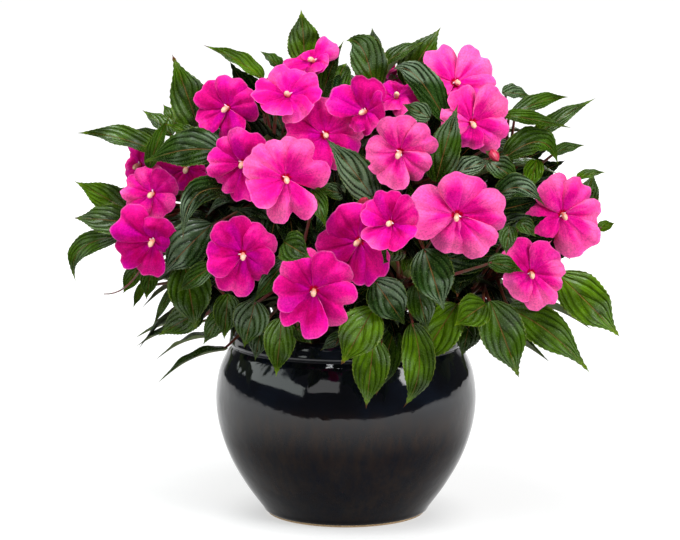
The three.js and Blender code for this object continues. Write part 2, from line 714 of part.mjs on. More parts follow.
// The blade's face: square to the line of sight, then tipped up by its turn
function seenLeaves(seen) {
  return SLIDES.map((slide) => {
    const base = seenPoint(seen.from, slide);
    const tip = seenPoint(seen.to, slide);
    const chord = tip.clone().sub(base);
    const along = chord.clone().normalize();
    const facing = sightLine(seen.to[0], seen.to[1]).negate();
    facing.addScaledVector(along, -facing.dot(along)).normalize();
    const sign = new THREE.Vector3().crossVectors(along, facing).z > 0 ? 1 : -1;
    facing.applyAxisAngle(along, sign * degrees(seen.turn));
    const middle = base.clone().lerp(tip, 0.5);
    const crown = middle.clone().addScaledVector(facing, 0.06 * chord.length());
    const through = seen.via ? seenPoint(seen.via, slide) : crown;
    const bend = through.multiplyScalar(2).sub(middle);
    return { base, bend, tip, facing, width: seen.width };
  });
}

const LEANS = [0, 12, -12, 24, -24, 36, -36];

function restLeaves(random, index) {
  const turn = (index * 0.618034 + 0.37) % 1;
  const side = 62 + 236 * turn;
  const lift = -36 + 118 * ((index + 0.5) / REST.leaves) + 10 * (random() - 0.5);
  const length = REST.leafLength * (0.8 + 0.4 * random());
  const width = REST.leafWidth * (0.8 + 0.4 * random());
  const twist = 60 * (random() - 0.5);
  const outward = directionOf(side, lift);
  const base = moundPoint(outward, 0.66 + 0.1 * random());
  return LEANS.map((lean) => {
    const along = directionOf(side + twist + lean, lift * 0.6 + 10 - 0.3 * lean).normalize();
    const tip = base.clone().addScaledVector(along, length).addScaledVector(UP, -0.28 * length);
    const facing = outward.clone().multiplyScalar(0.5).add(UP).normalize();
    const bend = base.clone().addScaledVector(along, 0.55 * length).addScaledVector(UP, 0.08 * length);
    return { base, bend, tip, facing, width };
  });
}

// A leaf goes where its blade crosses nothing, or else only leaves of its own stem
function addLeaf(candidates) {
  const blades = candidates.map((leaf) => leafSolid(leaf, null, 0));
  for (const alone of [true, false]) {
    for (const [i, leaf] of candidates.entries()) {
      if (alone && !isClear('', blades[i])) {
        continue;
      }
      const free = knotsNear(leaf.base)
        .filter((knot) => knot.leaves < LEAVES_PER_KNOT && stalkFits(leaf, knot.at));
      for (const knot of free.slice(0, 16)) {
        const solid = leafSolid(leaf, knot.at, 0);
        if (isClear(knot.node, solid)) {
          place(knot.node, solid, leafSolid(leaf, knot.at, GAP));
          knot.leaves += 1;
          return;
        }
      }
    }
  }
}

SEEN_LEAVES.forEach((seen) => addLeaf(seenLeaves(seen)));
const leafRandom = seededRandom(REST.seed + 2);
for (let i = 0; i < REST.leaves; i += 1) {
  addLeaf(restLeaves(leafRandom, i));
}

// Colours, read from the photograph in its own light
const MATERIALS = {
  pot: new THREE.MeshStandardMaterial({ color: 0x0c0c10, roughness: 0.12, metalness: 0 }),
  soil: new THREE.MeshStandardMaterial({ color: 0x241a12, roughness: 0.95, metalness: 0 }),
  leafy: new THREE.MeshStandardMaterial({ color: 0x2c5a1e, roughness: 0.5, metalness: 0 }),
  bloom: new THREE.MeshStandardMaterial({ color: 0xe0119a, roughness: 0.6, metalness: 0 }),
  bud: new THREE.MeshStandardMaterial({ color: 0xa8123e, roughness: 0.5, metalness: 0 }),
};

function materialFor(node) {
  const kind = ['pot', 'soil', 'leafy', 'bloom'].find((name) => node.startsWith(name)) ?? 'bud';
  return MATERIALS[kind];
}

const plant = new THREE.Group();
plant.name = 'potted_new_guinea_impatiens';
for (const node of [...new Set(placed.map((piece) => piece.node))].sort()) {
  const solid = together(placed.filter((piece) => piece.node === node).map((piece) => piece.solid));
  const mesh = new THREE.Mesh(geometryOf(solid), materialFor(node));
  mesh.name = node;
  plant.add(mesh);
}

export default plant;
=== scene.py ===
"""Looks of the potted New Guinea impatiens: fine petals, leaves, stems, soil and glaze."""

import math
from types import SimpleNamespace

import bpy
import numpy as np
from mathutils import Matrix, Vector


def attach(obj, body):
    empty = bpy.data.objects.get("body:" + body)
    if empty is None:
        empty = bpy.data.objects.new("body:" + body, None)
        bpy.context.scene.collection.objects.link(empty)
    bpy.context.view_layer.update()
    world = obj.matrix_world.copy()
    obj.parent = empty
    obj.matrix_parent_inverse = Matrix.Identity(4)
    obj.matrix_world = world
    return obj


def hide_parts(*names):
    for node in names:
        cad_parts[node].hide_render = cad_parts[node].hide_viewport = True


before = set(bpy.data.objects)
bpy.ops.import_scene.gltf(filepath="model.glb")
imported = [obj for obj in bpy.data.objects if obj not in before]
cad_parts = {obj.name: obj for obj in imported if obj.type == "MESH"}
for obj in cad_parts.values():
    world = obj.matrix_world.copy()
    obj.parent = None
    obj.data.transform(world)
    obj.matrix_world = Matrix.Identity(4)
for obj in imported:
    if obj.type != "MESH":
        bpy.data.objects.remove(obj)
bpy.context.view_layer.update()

# Driving dimensions in mm, the same as those of the solids
POT_PROFILE = [(67, 5), (82, 26), (94, 48), (102, 72), (104.5, 94), (102, 115), (96, 130), (92, 136)]
POT_FOOT_RADIUS = 61
RIM_PROFILE = [(92.6, 137), (94, 139), (93.6, 142), (93, 146), (92, 149), (90.4, 150.7), (88.6, 150.8)]
INNER_PROFILE = [(86.6, 149.6), (86, 147), (86, 136), (97.5, 94), (87, 48), (61, 14), (0, 8)]
SOIL_TOP = 138
SOIL_RADIUS = 85.3
SOIL_PROFILE = [(0, 9), (60, 15), (86, 48), (96.5, 94), (SOIL_RADIUS, 136)]
SOIL_CRUMBS = 90
STEM_FOOT = 100
STEM_LOW_RADIUS = 4.2
STEM_HIGH_RADIUS = 3.2
STEM_LEAN = 0.45
KNOT_SHARES = [0.4, 0.48, 0.56, 0.64, 0.72, 0.8, 0.88, 0.98]
LEAF_FOLD = 0.3
LEAF_THICKNESS = 0.55
SOLID_LEAF_THICKNESS = 0.9
SOLID_LEAF_STALK = 2.6
SOLID_FLOWER_STALK = 1.1
PETAL_THICKNESS = 0.5
PETAL_TILT = 0.16
FLOWER_STALK = 0.95
SPURRED = 8
SEEN_SPUR = [(134, 296, -74), (104, 294, -60)]
MOUND_CENTRE = np.array([0.0, 0.0, 200.0])
MOUND_HALF = np.array([186.0, 165.0, 172.0])
UP = np.array([0.0, 0.0, 1.0])

# The photograph's camera
EYE = np.array([-4.8, -2200.0, 510.0])
PITCH = 8.12
FOCAL = 2779
IMAGE_WIDTH = 680
IMAGE_CENTRE = (340, 270)

# Directions of five even petals, in degrees from the right, counter-clockwise
EVEN = (90, 162, 234, -54, 18)


def bloom(light, at, right, up, radius, petals, **more):
    """An open bloom: its light from deep magenta (0) to pale pink (1), partly its own colour and
    partly painted shade, centre pixel with depth, the way it faces (degrees right and up), radius
    and the directions of its petals in the picture. A petal may lie in front or behind, be
    notched or narrow, or show a share of its reach."""
    return {"light": light, "at": at, "right": right, "up": up, "radius": radius, "petals": petals, **more}


SEEN_BLOOMS = [
    bloom(0.2, (228, 108, -79), -25, 10, 27, (85, 150, 212, -75, 15), shares={212: 1.12, 15: 0.9}),
    bloom(0.6, (288, 96, -96), 0, 45, 33, EVEN, narrow=(18,),
          shares={162: 0.86, 234: 0.76, -54: 0.74, 18: 0.76}),
    bloom(0.5, (314, 62, -64), -20, 45, 27, (60, 130, 200, -90, -10), narrow=(60,),
          shares={60: 0.86, 130: 0.62, -90: 0.5, -10: 0.5}),
    bloom(0.45, (243, 163, -112), -20, 5, 29, (75, 125, 180, 225, -80), narrow=(-80,), front=(180, 75)),
    bloom(0.75, (286, 178, -140), 0, 5, 34, (205, 150, 95, 32, -79), front=(205,), behind=(95,),
          notched=(32, -79), narrow=(-79,), shares={32: 0.95}),
    bloom(0.5, (325, 135, -108), 0, 20, 32, (100, 28, -44, -116, 172)),
    bloom(0.4, (153, 194, -78), -10, 15, 26, (105, 165, 222, -50, 45), ruffled=2.2,
          shares={-50: 0.9, 45: 0.84}),
    bloom(0.0, (154, 240, -90), -22, -5, 33, (148, 70, 205, 255, -30), front=(148,), behind=(255,),
          shares={70: 0.6, 205: 1.12, 255: 0.9, -30: 0.4}),
    bloom(0.2, (243, 254, -134), -5, 0, 32, (115, 190, -108, -30, 40), front=(190,), behind=(-108,),
          shares={190: 0.93, -30: 0.85, 40: 0.84}),
    bloom(0.25, (314, 290, -152), -5, 0, 34, (-108, 185, 122, 50, -30), front=(-108,), behind=(122,),
          notched=(-30, -108), shares={185: 0.94, -108: 1.02, -30: 1.12}),
    bloom(0.0, (360, 241, -150), -25, 8, 36, (128, 200, -95, -48, 40), behind=(128,), ruffled=1.6,
          shares={128: 0.84, -95: 0.92, -48: 1.08}),
    bloom(0.3, (391, 223, -152), -10, 20, 26, (98, 28, -50, -130, 155), cup=0.7, front=(28,),
          shares={155: 0.8, 28: 0.85}),
    bloom(0.9, (400, 152, -124), -10, -5, 28, (95, 30, -38, -105, 190), front=(-38,),
          shares={95: 1.2, 30: 1.1}),
    bloom(0.1, (366, 112, -106), -35, 20, 27, EVEN, cup=0.6, shares={90: 1.1, 234: 0.7, -54: 0.7, 18: 0.8}),
    bloom(0.3, (396, 98, -84), 5, 55, 23, EVEN, shares={90: 0.84, 162: 0.85, 234: 0.7, -54: 0.7}),
    bloom(0.9, (455, 83, -60), 15, 25, 35, (115, 38, -22, -85, 185), shares={115: 0.95}),
    bloom(0.8, (472, 123, -88), 15, 5, 32, (112, 42, -28, -98, 172), narrow=(112,),
          shares={-98: 0.66, 172: 0.8}),
    bloom(0.9, (457, 215, -138), 5, 0, 37, (80, 8, -50, -98, 174), front=(80, -50), behind=(-98,),
          shares={80: 0.94, -50: 1.05, -98: 0.82}),
    bloom(0.85, (562, 214, -56), 20, 0, 34, (112, 52, -5, -58, 200), front=(-5,), behind=(200,),
          shares={52: 0.93, -5: 1.04, -58: 1.1}),
    bloom(0.75, (531, 273, -96), 8, 5, 30, (130, 52, -8, -68, -135), ruffled=1.5,
          shares={52: 0.95, -8: 0.94, -135: 0.86}),
    bloom(0.0, (187, 168, -66), -15, 5, 24, EVEN, shares={90: 0.5, 18: 0.6, 234: 0.8}),
    bloom(0.25, (140, 165, -38), -30, 10, 24, EVEN, shares={162: 0.6, 234: 0.7, 18: 0.95}),
]

# Leaves: blade base, a point where the blade arches if it does, and tip as pixels with depth,
# width in mm, turn of the face, and tone from dark blue-green (0) to bright yellow-green (1).
SEEN_LEAVES = [
    ((203, 142, -62), (172, 54, -60), 31, 8, 0.5),
    ((263, 79, -60), (203, 45, -48), 20, 55, 0.7),
    ((281, 70, -52), (260, 51, -46), 14, 50, 0.4),
    ((305, 64, -28), (301, 9, -26), 26, 5, 0.8),
    ((158, 152, -38), (115, 137, -34), (77, 133, -30), 24, 50, 0.6),
    ((172, 136, -30), (142, 110, -16), 16, 40, 0.8),
    ((162, 143, -48), (131, 129, -42), 14, 45, 0.7),
    ((176, 126, -16), (163, 104, -8), 12, 20, 0.7),
    ((149, 168, -72), (170, 115, -62), 13, 25, 0.4),
    ((196, 138, -78), (165, 124, -70), 12, 40, 0.6),
    ((222, 152, -122), (185, 150, -116), (142, 163, -106), 31, 25, 0.2),
    ((132, 214, -42), (74, 181, -34), 23, 15, 0.7),
    ((132, 223, -62), (73, 218, -56), 24, 15, 0.6),
    ((122, 236, -66), (80, 250, -58), (76, 282, -60), 17, 20, 0.5),
    ((236, 191, -112), (196, 196, -128), (183, 242, -136), 21, 20, 0.1),
    ((212, 224, -120), (162, 275, -114), 33, 15, 0.1),
    ((184, 262, -92), (196, 330, -96), 33, 5, 0.5),
    ((214, 265, -116), (177, 293, -108), 16, 20, 0.3),
    ((202, 311, -74), (158, 336, -78), 23, 15, 0.7),
    ((138, 266, -62), (123, 294, -62), 13, 5, 0.6),
    ((152, 266, -70), (146, 300, -70), 14, 5, 0.5),
    ((144, 283, -54), (133, 308, -54), 7, 10, 0.7),
    ((174, 286, -68), (153, 326, -66), 7, 10, 0.6),
    ((223, 311, -88), (203, 345, -90), 15, 5, 0.5),
    ((228, 294, -112), (224, 340, -114), 20, 0, 0.6),
    ((255, 301, -122), (244, 348, -124), 27, 0, 0.3),
    ((262, 323, -104), (255, 361, -110), 18, 0, 0.3),
    ((282, 318, -126), (276, 377, -132), 24, 0, 0.7),
    ((286, 260, -148), (253, 303, -150), 15, 5, 0.2),
    ((284, 242, -158), (311, 258, -172), 24, 0, 0.4),
    ((314, 190, -146), (326, 228, -162), 14, 5, 0.3),
    ((342, 194, -130), (314, 188, -152), 13, 20, 0.3),
    ((374, 199, -112), (325, 137, -126), 27, 15, 0.1),
    ((322, 100, -56), (344, 40, -50), 17, 40, 0.4),
    ((374, 92, -72), (363, 50, -72), (346, 41, -70), 28, 15, 0.4),
    ((375, 60, -40), (372, 27, -34), 12, 5, 0.4),
    ((384, 64, -52), (424, 42, -46), 15, 45, 0.6),
    ((404, 84, -62), (441, 27, -56), 26, 10, 0.5),
    ((446, 122, -98), (416, 76, -90), (392, 70, -88), 24, 25, 0.1),
    ((430, 118, -112), (402, 104, -112), 15, 20, 0.2),
    ((436, 182, -124), (458, 104, -120), 25, 5, 0.3),
    ((502, 93, -46), (532, 97, -38), 16, 50, 0.3),
    ((512, 115, -56), (543, 101, -50), (569, 97, -46), 15, 35, 0.5),
    ((529, 142, -50), (596, 98, -40), 15, 30, 0.6),
    ((505, 115, -76), (536, 120, -78), (572, 128, -74), 13, 35, 0.5),
    ((505, 158, -86), (540, 142, -84), (558, 165, -88), 25, 40, 0.3),
    ((552, 154, -44), (585, 145, -32), 11, 40, 0.5),
    ((488, 147, -108), (505, 148, -112), (513, 166, -116), 11, 30, 0.2),
    ((456, 174, -116), (491, 160, -108), 18, 30, 0.2),
    ((488, 161, -98), (520, 184, -104), 20, 30, 0.2),
    ((537, 160, -84), (529, 192, -92), 15, 10, 0.6),
    ((498, 196, -112), (521, 188, -116), (545, 206, -118), 22, 35, 0.1),
    ((577, 178, -28), (606, 172, -18), 9, 40, 0.9),
    ((584, 212, -20), (594, 172, -10), 18, 5, 0.6),
    ((598, 229, -34), (615, 223, -28), 9, 20, 0.7),
    ((558, 274, -66), (620, 337, -76), 34, 10, 0.8),
    ((506, 308, -86), (549, 332, -92), (590, 373, -98), 30, 10, 0.6),
    ((490, 301, -102), (519, 378, -110), 34, 5, 0.5),
    ((486, 304, -122), (454, 326, -128), 26, 10, 0.7),
    ((457, 304, -114), (416, 368, -120), 32, 5, 0.8),
    ((374, 308, -136), (341, 365, -142), 32, 0, 0.9),
    ((374, 339, -118), (366, 409, -124), 28, 0, 0.7),
    ((394, 330, -102), (376, 396, -106), 24, 5, 0.4),
    ((412, 323, -126), (419, 370, -130), (403, 408, -122), 25, 5, 0.7),
    ((374, 280, -138), (405, 325, -140), 30, 5, 0.1),
    ((416, 284, -116), (428, 332, -118), 22, 5, 0.3),
    ((424, 249, -126), (444, 311, -136), 32, 5, 0.1),
    ((472, 315, -84), (462, 357, -90), 24, 5, 0.4),
    ((399, 247, -156), (383, 264, -164), 20, 20, 0.2),
    ((510, 226, -112), (506, 255, -118), 14, 10, 0.4),
    ((519, 221, -108), (536, 237, -114), 13, 20, 0.4),
    ((488, 262, -116), (524, 272, -116), 16, 30, 0.3),
    ((347, 333, -116), (320, 351, -114), 11, 20, 0.3),
    ((270, 321, -116), (282, 333, -118), (297, 334, -118), 8, 20, 0.3),
    ((296, 328, -134), (312, 344, -138), 13, 10, 0.3),
]

SEEN_BUDS = [
    {"at": (363, 203, -136), "right": 25, "up": 30},
    {"at": (494, 155, -120), "right": 20, "up": -25},
]

# Rules of the sides and back
REST_SEED = 41
REST_BLOOMS = 11
REST_BUDS = 2
REST_LEAVES = 60
GOLDEN_TURN = 0.618034
BLOOM_RADIUS = 31
REST_LEAF_LENGTH = 70
REST_LEAF_WIDTH = 28
SLIDES = [0, 6, -6, 12, -12, 18, -18, 24, -24, 32, -32, 42, -42, 54]
LEANS = [0, 12, -12, 24, -24, 36, -36]
LONGEST_STALK = 200
STALK_BENDS = [(0.45, 0), (0.2, 0), (0.75, 0), (0.3, -0.35), (0.3, 0.35), (0.6, -0.6), (0.6, 0.6)]

CROWNS = [
    (5, 0, 325),
    (-60, -60, 290),
    (60, -60, 290),
    (-125, -10, 265),
    (130, -10, 270),
    (-110, -50, 200),
    (-45, -110, 205),
    (45, -110, 205),
    (120, -45, 200),
    (-65, 70, 285),
    (65, 70, 285),
    (-95, 85, 200),
    (0, 118, 210),
    (95, 85, 200),
]


# Vectors and curves

def unit(vector):
    vector = np.asarray(vector, float)
    return vector / np.linalg.norm(vector, axis=-1, keepdims=True)


def direction_of(right, up):
    spin = math.radians(right)
    lift = math.radians(up)
    flat = math.cos(lift)
    return np.array([math.sin(spin) * flat, -math.cos(spin) * flat, math.sin(lift)])


def sight_line(px, py):
    right = (px - IMAGE_CENTRE[0]) / FOCAL
    lift = (IMAGE_CENTRE[1] - py) / FOCAL
    pitch = math.radians(PITCH)
    forward = math.cos(pitch) + lift * math.sin(pitch)
    return unit([right, forward, lift * math.cos(pitch) - math.sin(pitch)])


def seen_point(pixel, slide=0.0):
    line = sight_line(pixel[0], pixel[1])
    return EYE + line * ((pixel[2] - EYE[1]) / line[1] + slide)


def quadratic(points, share):
    share = np.asarray(share, float)[..., None]
    first, bend, last = points
    return (1 - share) ** 2 * first + 2 * share * (1 - share) * bend + share ** 2 * last


def quadratic_along(points, share):
    share = np.asarray(share, float)[..., None]
    first, bend, last = points
    return unit((1 - share) * (bend - first) + share * (last - bend))


def point_at_length(points, share):
    """The point that lies at this share of a curve's length."""
    steps = quadratic(points, np.linspace(0, 1, 201))
    lengths = np.concatenate([[0], np.cumsum(np.linalg.norm(np.diff(steps, axis=0), axis=1))])
    at = np.interp(share * lengths[-1], lengths, np.linspace(0, 1, 201))
    return quadratic(points, at)


def seeded_random(seed):
    """The solids' own repeatable numbers between 0 and 1."""
    state = seed
    while True:
        state = (state * 1664525 + 1013904223) % 4294967296
        yield state / 4294967296


def mound_point(direction, share):
    return MOUND_CENTRE + direction * share / np.linalg.norm(direction / MOUND_HALF)


def mound_share(point):
    return float(np.linalg.norm((point - MOUND_CENTRE) / MOUND_HALF))


def stacked(first, second, third):
    """Three values for each point of a grid."""
    return np.stack(np.broadcast_arrays(first, second, third), axis=2)


def smooth(value, low, high):
    share = np.clip((value - low) / (high - low), 0, 1)
    return share * share * (3 - 2 * share)


# Where the solids stand: each flower and leaf is found again by its corners

def corners_of(node):
    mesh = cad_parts[node].data
    found = np.empty(len(mesh.vertices) * 3, np.float32)
    mesh.vertices.foreach_get("co", found)
    return found.reshape(-1, 3).astype(float) * 1000


corners = {node: corners_of(node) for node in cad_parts}


def nearest(node, point):
    return float(np.min(np.linalg.norm(corners[node] - point, axis=1)))


def stem_points(spot):
    crown = np.array(spot, float)
    foot = np.array([crown[0] * STEM_LEAN, crown[1] * STEM_LEAN, STEM_FOOT])
    bend = np.array([foot[0], foot[1], STEM_FOOT + 0.62 * (crown[2] - STEM_FOOT)])
    return foot, bend, crown


stems = {f"leafy_stem_{i + 1:02d}": stem_points(spot) for i, spot in enumerate(CROWNS)}
knots = {
    node: [point_at_length(points, share) for share in KNOT_SHARES]
    for node, points in stems.items()
}
all_knots = [knot for places in knots.values() for knot in places]


class Flower:
    """A flower's frame: x to its side, y up and z the way that it faces."""

    def __init__(self, position, facing, details):
        side = unit(np.cross(UP, facing))
        self.axes = np.array([side, unit(np.cross(facing, side)), facing])
        self.position = position
        self.details = details

    def world(self, local):
        return self.position + np.asarray(local, float) @ self.axes


HEART_TIP = (0, 0, 6.2)
BUD_TIP = (0, 0, 9)


def found_flower(node, places, facing, details, tip):
    """The flower at the place whose front corner is a corner of the node."""
    flowers = [Flower(place, facing, details) for place in places]
    return min(flowers, key=lambda flower: nearest(node, flower.world(tip)))


def seen_flower(node, seen, tip):
    facing = direction_of(seen["right"], seen["up"])
    places = [seen_point(seen["at"], slide) for slide in SLIDES]
    return found_flower(node, places, facing, seen, tip)


def rest_flower(node, random, index, tip):
    turn = (index * GOLDEN_TURN + 0.1) % 1
    side = 82 + 196 * turn + 8 * (next(random) - 0.5)
    lift = 4 + 66 * ((index + 0.5) / REST_BLOOMS) + 8 * (next(random) - 0.5)
    first = 72 * next(random)
    size = BLOOM_RADIUS + 6 * (next(random) - 0.5)
    outward = direction_of(side, lift)
    face_side = side + 20 * (next(random) - 0.5)
    facing = direction_of(face_side, lift + 14 * (next(random) - 0.5))
    places = [mound_point(outward, 0.93) + outward * slide for slide in SLIDES]
    details = {"radius": size, "petals": tuple(first + 72 * k for k in range(5))}
    return found_flower(node, places, facing, details, tip)


def stalk_points(node, flower):
    """The curve of a flower's stalk, found by the three corners halfway along it."""
    start = flower.world((0, 0, -2))
    best = None
    for knot in all_knots:
        reach = np.linalg.norm(knot - start)
        if reach > LONGEST_STALK:
            continue
        for back, rise in STALK_BENDS:
            bend = flower.world((0, 0, -2 - back * reach)) + UP * rise * reach
            points = (start, bend, knot)
            middle = point_at_length(points, 0.5)
            reaches = np.linalg.norm(corners[node] - middle, axis=1)
            misfit = np.sort(np.abs(reaches - SOLID_FLOWER_STALK))[:3].sum()
            if best is None or misfit < best[0]:
                best = (misfit, points)
    return best[1]


def blade(base, bend, tip, facing, width, tone):
    return {"line": (base, bend, tip), "facing": facing, "width": width, "tone": tone}


def blade_side(leaf):
    return unit(np.cross(quadratic_along(leaf["line"], 0.0), leaf["facing"]))


def seen_leaves(seen):
    *pixels, width, turn, tone = seen
    end_x, end_y, _ = pixels[-1]
    made = []
    for slide in SLIDES:
        base, *arch, tip = [seen_point(pixel, slide) for pixel in pixels]
        chord = tip - base
        along = unit(chord)
        facing = -sight_line(end_x, end_y)
        facing = unit(facing - along * facing.dot(along))
        sign = 1 if np.cross(along, facing)[2] > 0 else -1
        angle = sign * math.radians(turn)
        facing = facing * math.cos(angle) + np.cross(along, facing) * math.sin(angle)
        middle = (base + tip) / 2
        through = arch[0] if arch else middle + facing * 0.06 * np.linalg.norm(chord)
        made.append(blade(base, 2 * through - middle, tip, facing, width, tone))
    return made


def rest_leaves(random, index):
    turn = (index * GOLDEN_TURN + 0.37) % 1
    side = 62 + 236 * turn
    lift = -36 + 118 * ((index + 0.5) / REST_LEAVES) + 10 * (next(random) - 0.5)
    length = REST_LEAF_LENGTH * (0.8 + 0.4 * next(random))
    width = REST_LEAF_WIDTH * (0.8 + 0.4 * next(random))
    twist = 60 * (next(random) - 0.5)
    outward = direction_of(side, lift)
    base = mound_point(outward, 0.66 + 0.1 * next(random))
    facing = unit(outward * 0.5 + UP)
    tone = 0.15 + 0.65 * ((index * 0.381966) % 1)
    made = []
    for lean in LEANS:
        along = direction_of(side + twist + lean, lift * 0.6 + 10 - 0.3 * lean)
        tip = base + along * length - UP * 0.28 * length
        bend = base + along * 0.55 * length + UP * 0.08 * length
        made.append(blade(base, bend, tip, facing, width, tone))
    return made


def found_leaf(choices):
    """The leaf whose two tip corners are in a stem's node, with that node and its stalk's knot."""
    half = SOLID_LEAF_THICKNESS / 2
    for leaf in choices:
        for node in stems:
            reach = np.linalg.norm(corners[node] - leaf["line"][2], axis=1)
            if np.count_nonzero(np.abs(reach - half) < 0.02) >= 2:
                return {**leaf, "node": node, "knot": leaf_knot(node, leaf)}
    return None


def leaf_knot(node, leaf):
    """The knot whose stalk would meet the blade in corners that the node has."""
    base = leaf["line"][0]
    tangent = quadratic_along(leaf["line"], 0.0)
    side = blade_side(leaf)

    def misfit(knot):
        along = unit(unit(base - knot) + tangent)
        across = unit(side - along * side.dot(along))
        normal = unit(np.cross(across, along))
        wide = across * SOLID_LEAF_STALK / 2
        thick = normal * SOLID_LEAF_THICKNESS / 2
        spots = [base + wide * a + thick * b for a in (-1, 1) for b in (-1, 1)]
        return sum(nearest(node, spot) for spot in spots)

    return min(knots[node], key=misfit)


# Pieces as grids of points

class Sheet:
    """A grid of points, row by row, with its pattern coordinates. The pinched first or last row
    is a single point."""

    def __init__(self, points, pattern, skin, flip=False, pinched=(False, False)):
        self.points = points
        self.pattern = np.broadcast_to(pattern, points.shape)
        self.skin = skin
        self.flip = flip
        self.pinched = pinched

    def size(self):
        rows = np.linalg.norm(np.diff(self.points, axis=1), axis=2).sum(axis=1)
        columns = np.linalg.norm(np.diff(self.points, axis=0), axis=2).sum(axis=0)
        return float(rows.max()) + 0.5, float(columns.max()) + 0.5

    def faces(self, first):
        rows, columns = self.points.shape[:2]
        index = first + np.arange(rows * columns).reshape(rows, columns)
        a, b = index[:-1, :-1], index[:-1, 1:]
        d, c = index[1:, :-1], index[1:, 1:]
        quads = np.stack([a, b, c, d], axis=2)
        triangles = []
        if self.pinched[0]:
            triangles.append(np.stack([a[0], c[0], d[0]], axis=1))
            quads = quads[1:]
        if self.pinched[1]:
            triangles.append(np.stack([a[-1], b[-1], c[-1]], axis=1))
            quads = quads[:-1]
        quads = quads.reshape(-1, 4)
        triangles = np.concatenate(triangles) if triangles else np.zeros((0, 3), int)
        if self.flip:
            return quads[:, ::-1], triangles[:, ::-1]
        return quads, triangles


def shelf_map(sheets):
    """Lays the sheets side by side on shelves in a unit square, one rectangle each."""
    margin = 1.5
    sizes = [sheet.size() for sheet in sheets]
    order = sorted(range(len(sheets)), key=lambda i: -sizes[i][1])
    area = sum((width + margin) * (height + margin) for width, height in sizes)
    widest = max(width for width, _ in sizes)
    across = max(1.05 * math.sqrt(area), widest + 2 * margin)
    spots = {}
    x, y, shelf = margin, margin, 0.0
    for i in order:
        width, height = sizes[i]
        if x + width + margin > across:
            x = margin
            y += shelf + margin
            shelf = 0.0
        spots[i] = (x, y)
        x += width + margin
        shelf = max(shelf, height)
    whole = max(across, y + shelf + margin)
    maps = []
    for i, sheet in enumerate(sheets):
        rows, columns = sheet.points.shape[:2]
        width, height = sizes[i]
        u = spots[i][0] + np.linspace(0, width, columns)[None, :] + np.zeros((rows, 1))
        v = spots[i][1] + np.linspace(0, height, rows)[:, None] + np.zeros((1, columns))
        maps.append(np.stack([u, v], axis=2).reshape(-1, 2) / whole)
    return np.concatenate(maps)


def added(name, data):
    """A new object of the scene with this data."""
    made = bpy.data.objects.new(name, data)
    bpy.context.scene.collection.objects.link(made)
    return made


def make_piece(name, sheets, skins, nodes):
    """One mesh from sheets. It rides on the part and replaces the nodes."""
    firsts = np.cumsum([0] + [sheet.points.size // 3 for sheet in sheets[:-1]])
    faces = [sheet.faces(first) for sheet, first in zip(sheets, firsts)]
    quads = np.concatenate([four for four, _ in faces])
    triangles = np.concatenate([three for _, three in faces])
    skin_of_sheets = [sheet.skin for sheet in sheets]
    skin_of = np.concatenate([
        np.repeat(skin_of_sheets, [len(four) for four, _ in faces]),
        np.repeat(skin_of_sheets, [len(three) for _, three in faces]),
    ])
    points = np.concatenate([sheet.points.reshape(-1, 3) for sheet in sheets])
    pattern = np.concatenate([sheet.pattern.reshape(-1, 3) for sheet in sheets])
    loops = np.concatenate([quads.ravel(), triangles.ravel()]).astype(np.int32)
    starts = np.concatenate([
        np.arange(len(quads)) * 4,
        len(quads) * 4 + np.arange(len(triangles)) * 3,
    ])
    mesh = bpy.data.meshes.new(name)
    mesh.vertices.add(len(points))
    mesh.vertices.foreach_set("co", (points / 1000).astype(np.float32).ravel())
    mesh.loops.add(len(loops))
    mesh.loops.foreach_set("vertex_index", loops)
    mesh.polygons.add(len(starts))
    mesh.polygons.foreach_set("loop_start", starts.astype(np.int32))
    for skin in skins:
        mesh.materials.append(skin)
    mesh.polygons.foreach_set("material_index", skin_of.astype(np.int32))
    mesh.update(calc_edges=True)
    mesh.attributes.new("pattern", "FLOAT_VECTOR", "POINT")
    mesh.attributes["pattern"].data.foreach_set("vector", pattern.astype(np.float32).ravel())
    layer = mesh.uv_layers.new(name="OFBake")
    layer.uv.foreach_set("vector", shelf_map(sheets)[loops].astype(np.float32).ravel())
    mesh.shade_smooth()
    piece = added(name, mesh)
    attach(piece, "root")
    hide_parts(*nodes)


def tube(line, radii, sides, skin, tone, pinched=(False, False)):
    """A round tube along the points of a line, with a seam where its pattern meets itself."""
    line = np.asarray(line, float)
    along = unit(np.gradient(line, axis=0))
    helper = UP if abs(along[0][2]) < 0.9 else np.array([1.0, 0.0, 0.0])
    normal = unit(np.cross(along[0], helper))
    normals = []
    for tangent in along:
        normal = unit(normal - tangent * normal.dot(tangent))
        normals.append(normal)
    normals = np.array(normals)
    binormals = np.cross(along, normals)
    turn = np.linspace(0, 2 * math.pi, sides + 1)
    cosines = np.cos(turn)[None, :, None]
    sines = np.sin(turn)[None, :, None]
    ring = normals[:, None] * cosines + binormals[:, None] * sines
    points = line[:, None] + ring * np.asarray(radii, float)[:, None, None]
    length = np.concatenate([[0], np.cumsum(np.linalg.norm(np.diff(line, axis=0), axis=1))])
    pattern = stacked(turn[None, :] / (2 * math.pi), length[:, None], tone)
    return Sheet(points, pattern, skin, pinched=pinched)


def two_faces(points, thickness, pattern, skins, flip, pinched):
    """A blade: a front sheet and a back sheet that meet all round its rim."""
    across = np.gradient(points, axis=1)
    along = np.gradient(points, axis=0)
    normals = np.cross(across, along)
    if pinched[1]:
        normals[-1] = normals[-2]
    if flip:
        normals = -normals
    normals = unit(normals + 1e-12)
    back = points - normals * thickness[..., None]
    return [
        Sheet(points, pattern, skins[0], flip=flip, pinched=pinched),
        Sheet(back, pattern, skins[1], flip=not flip, pinched=pinched),
    ]


# Leaves

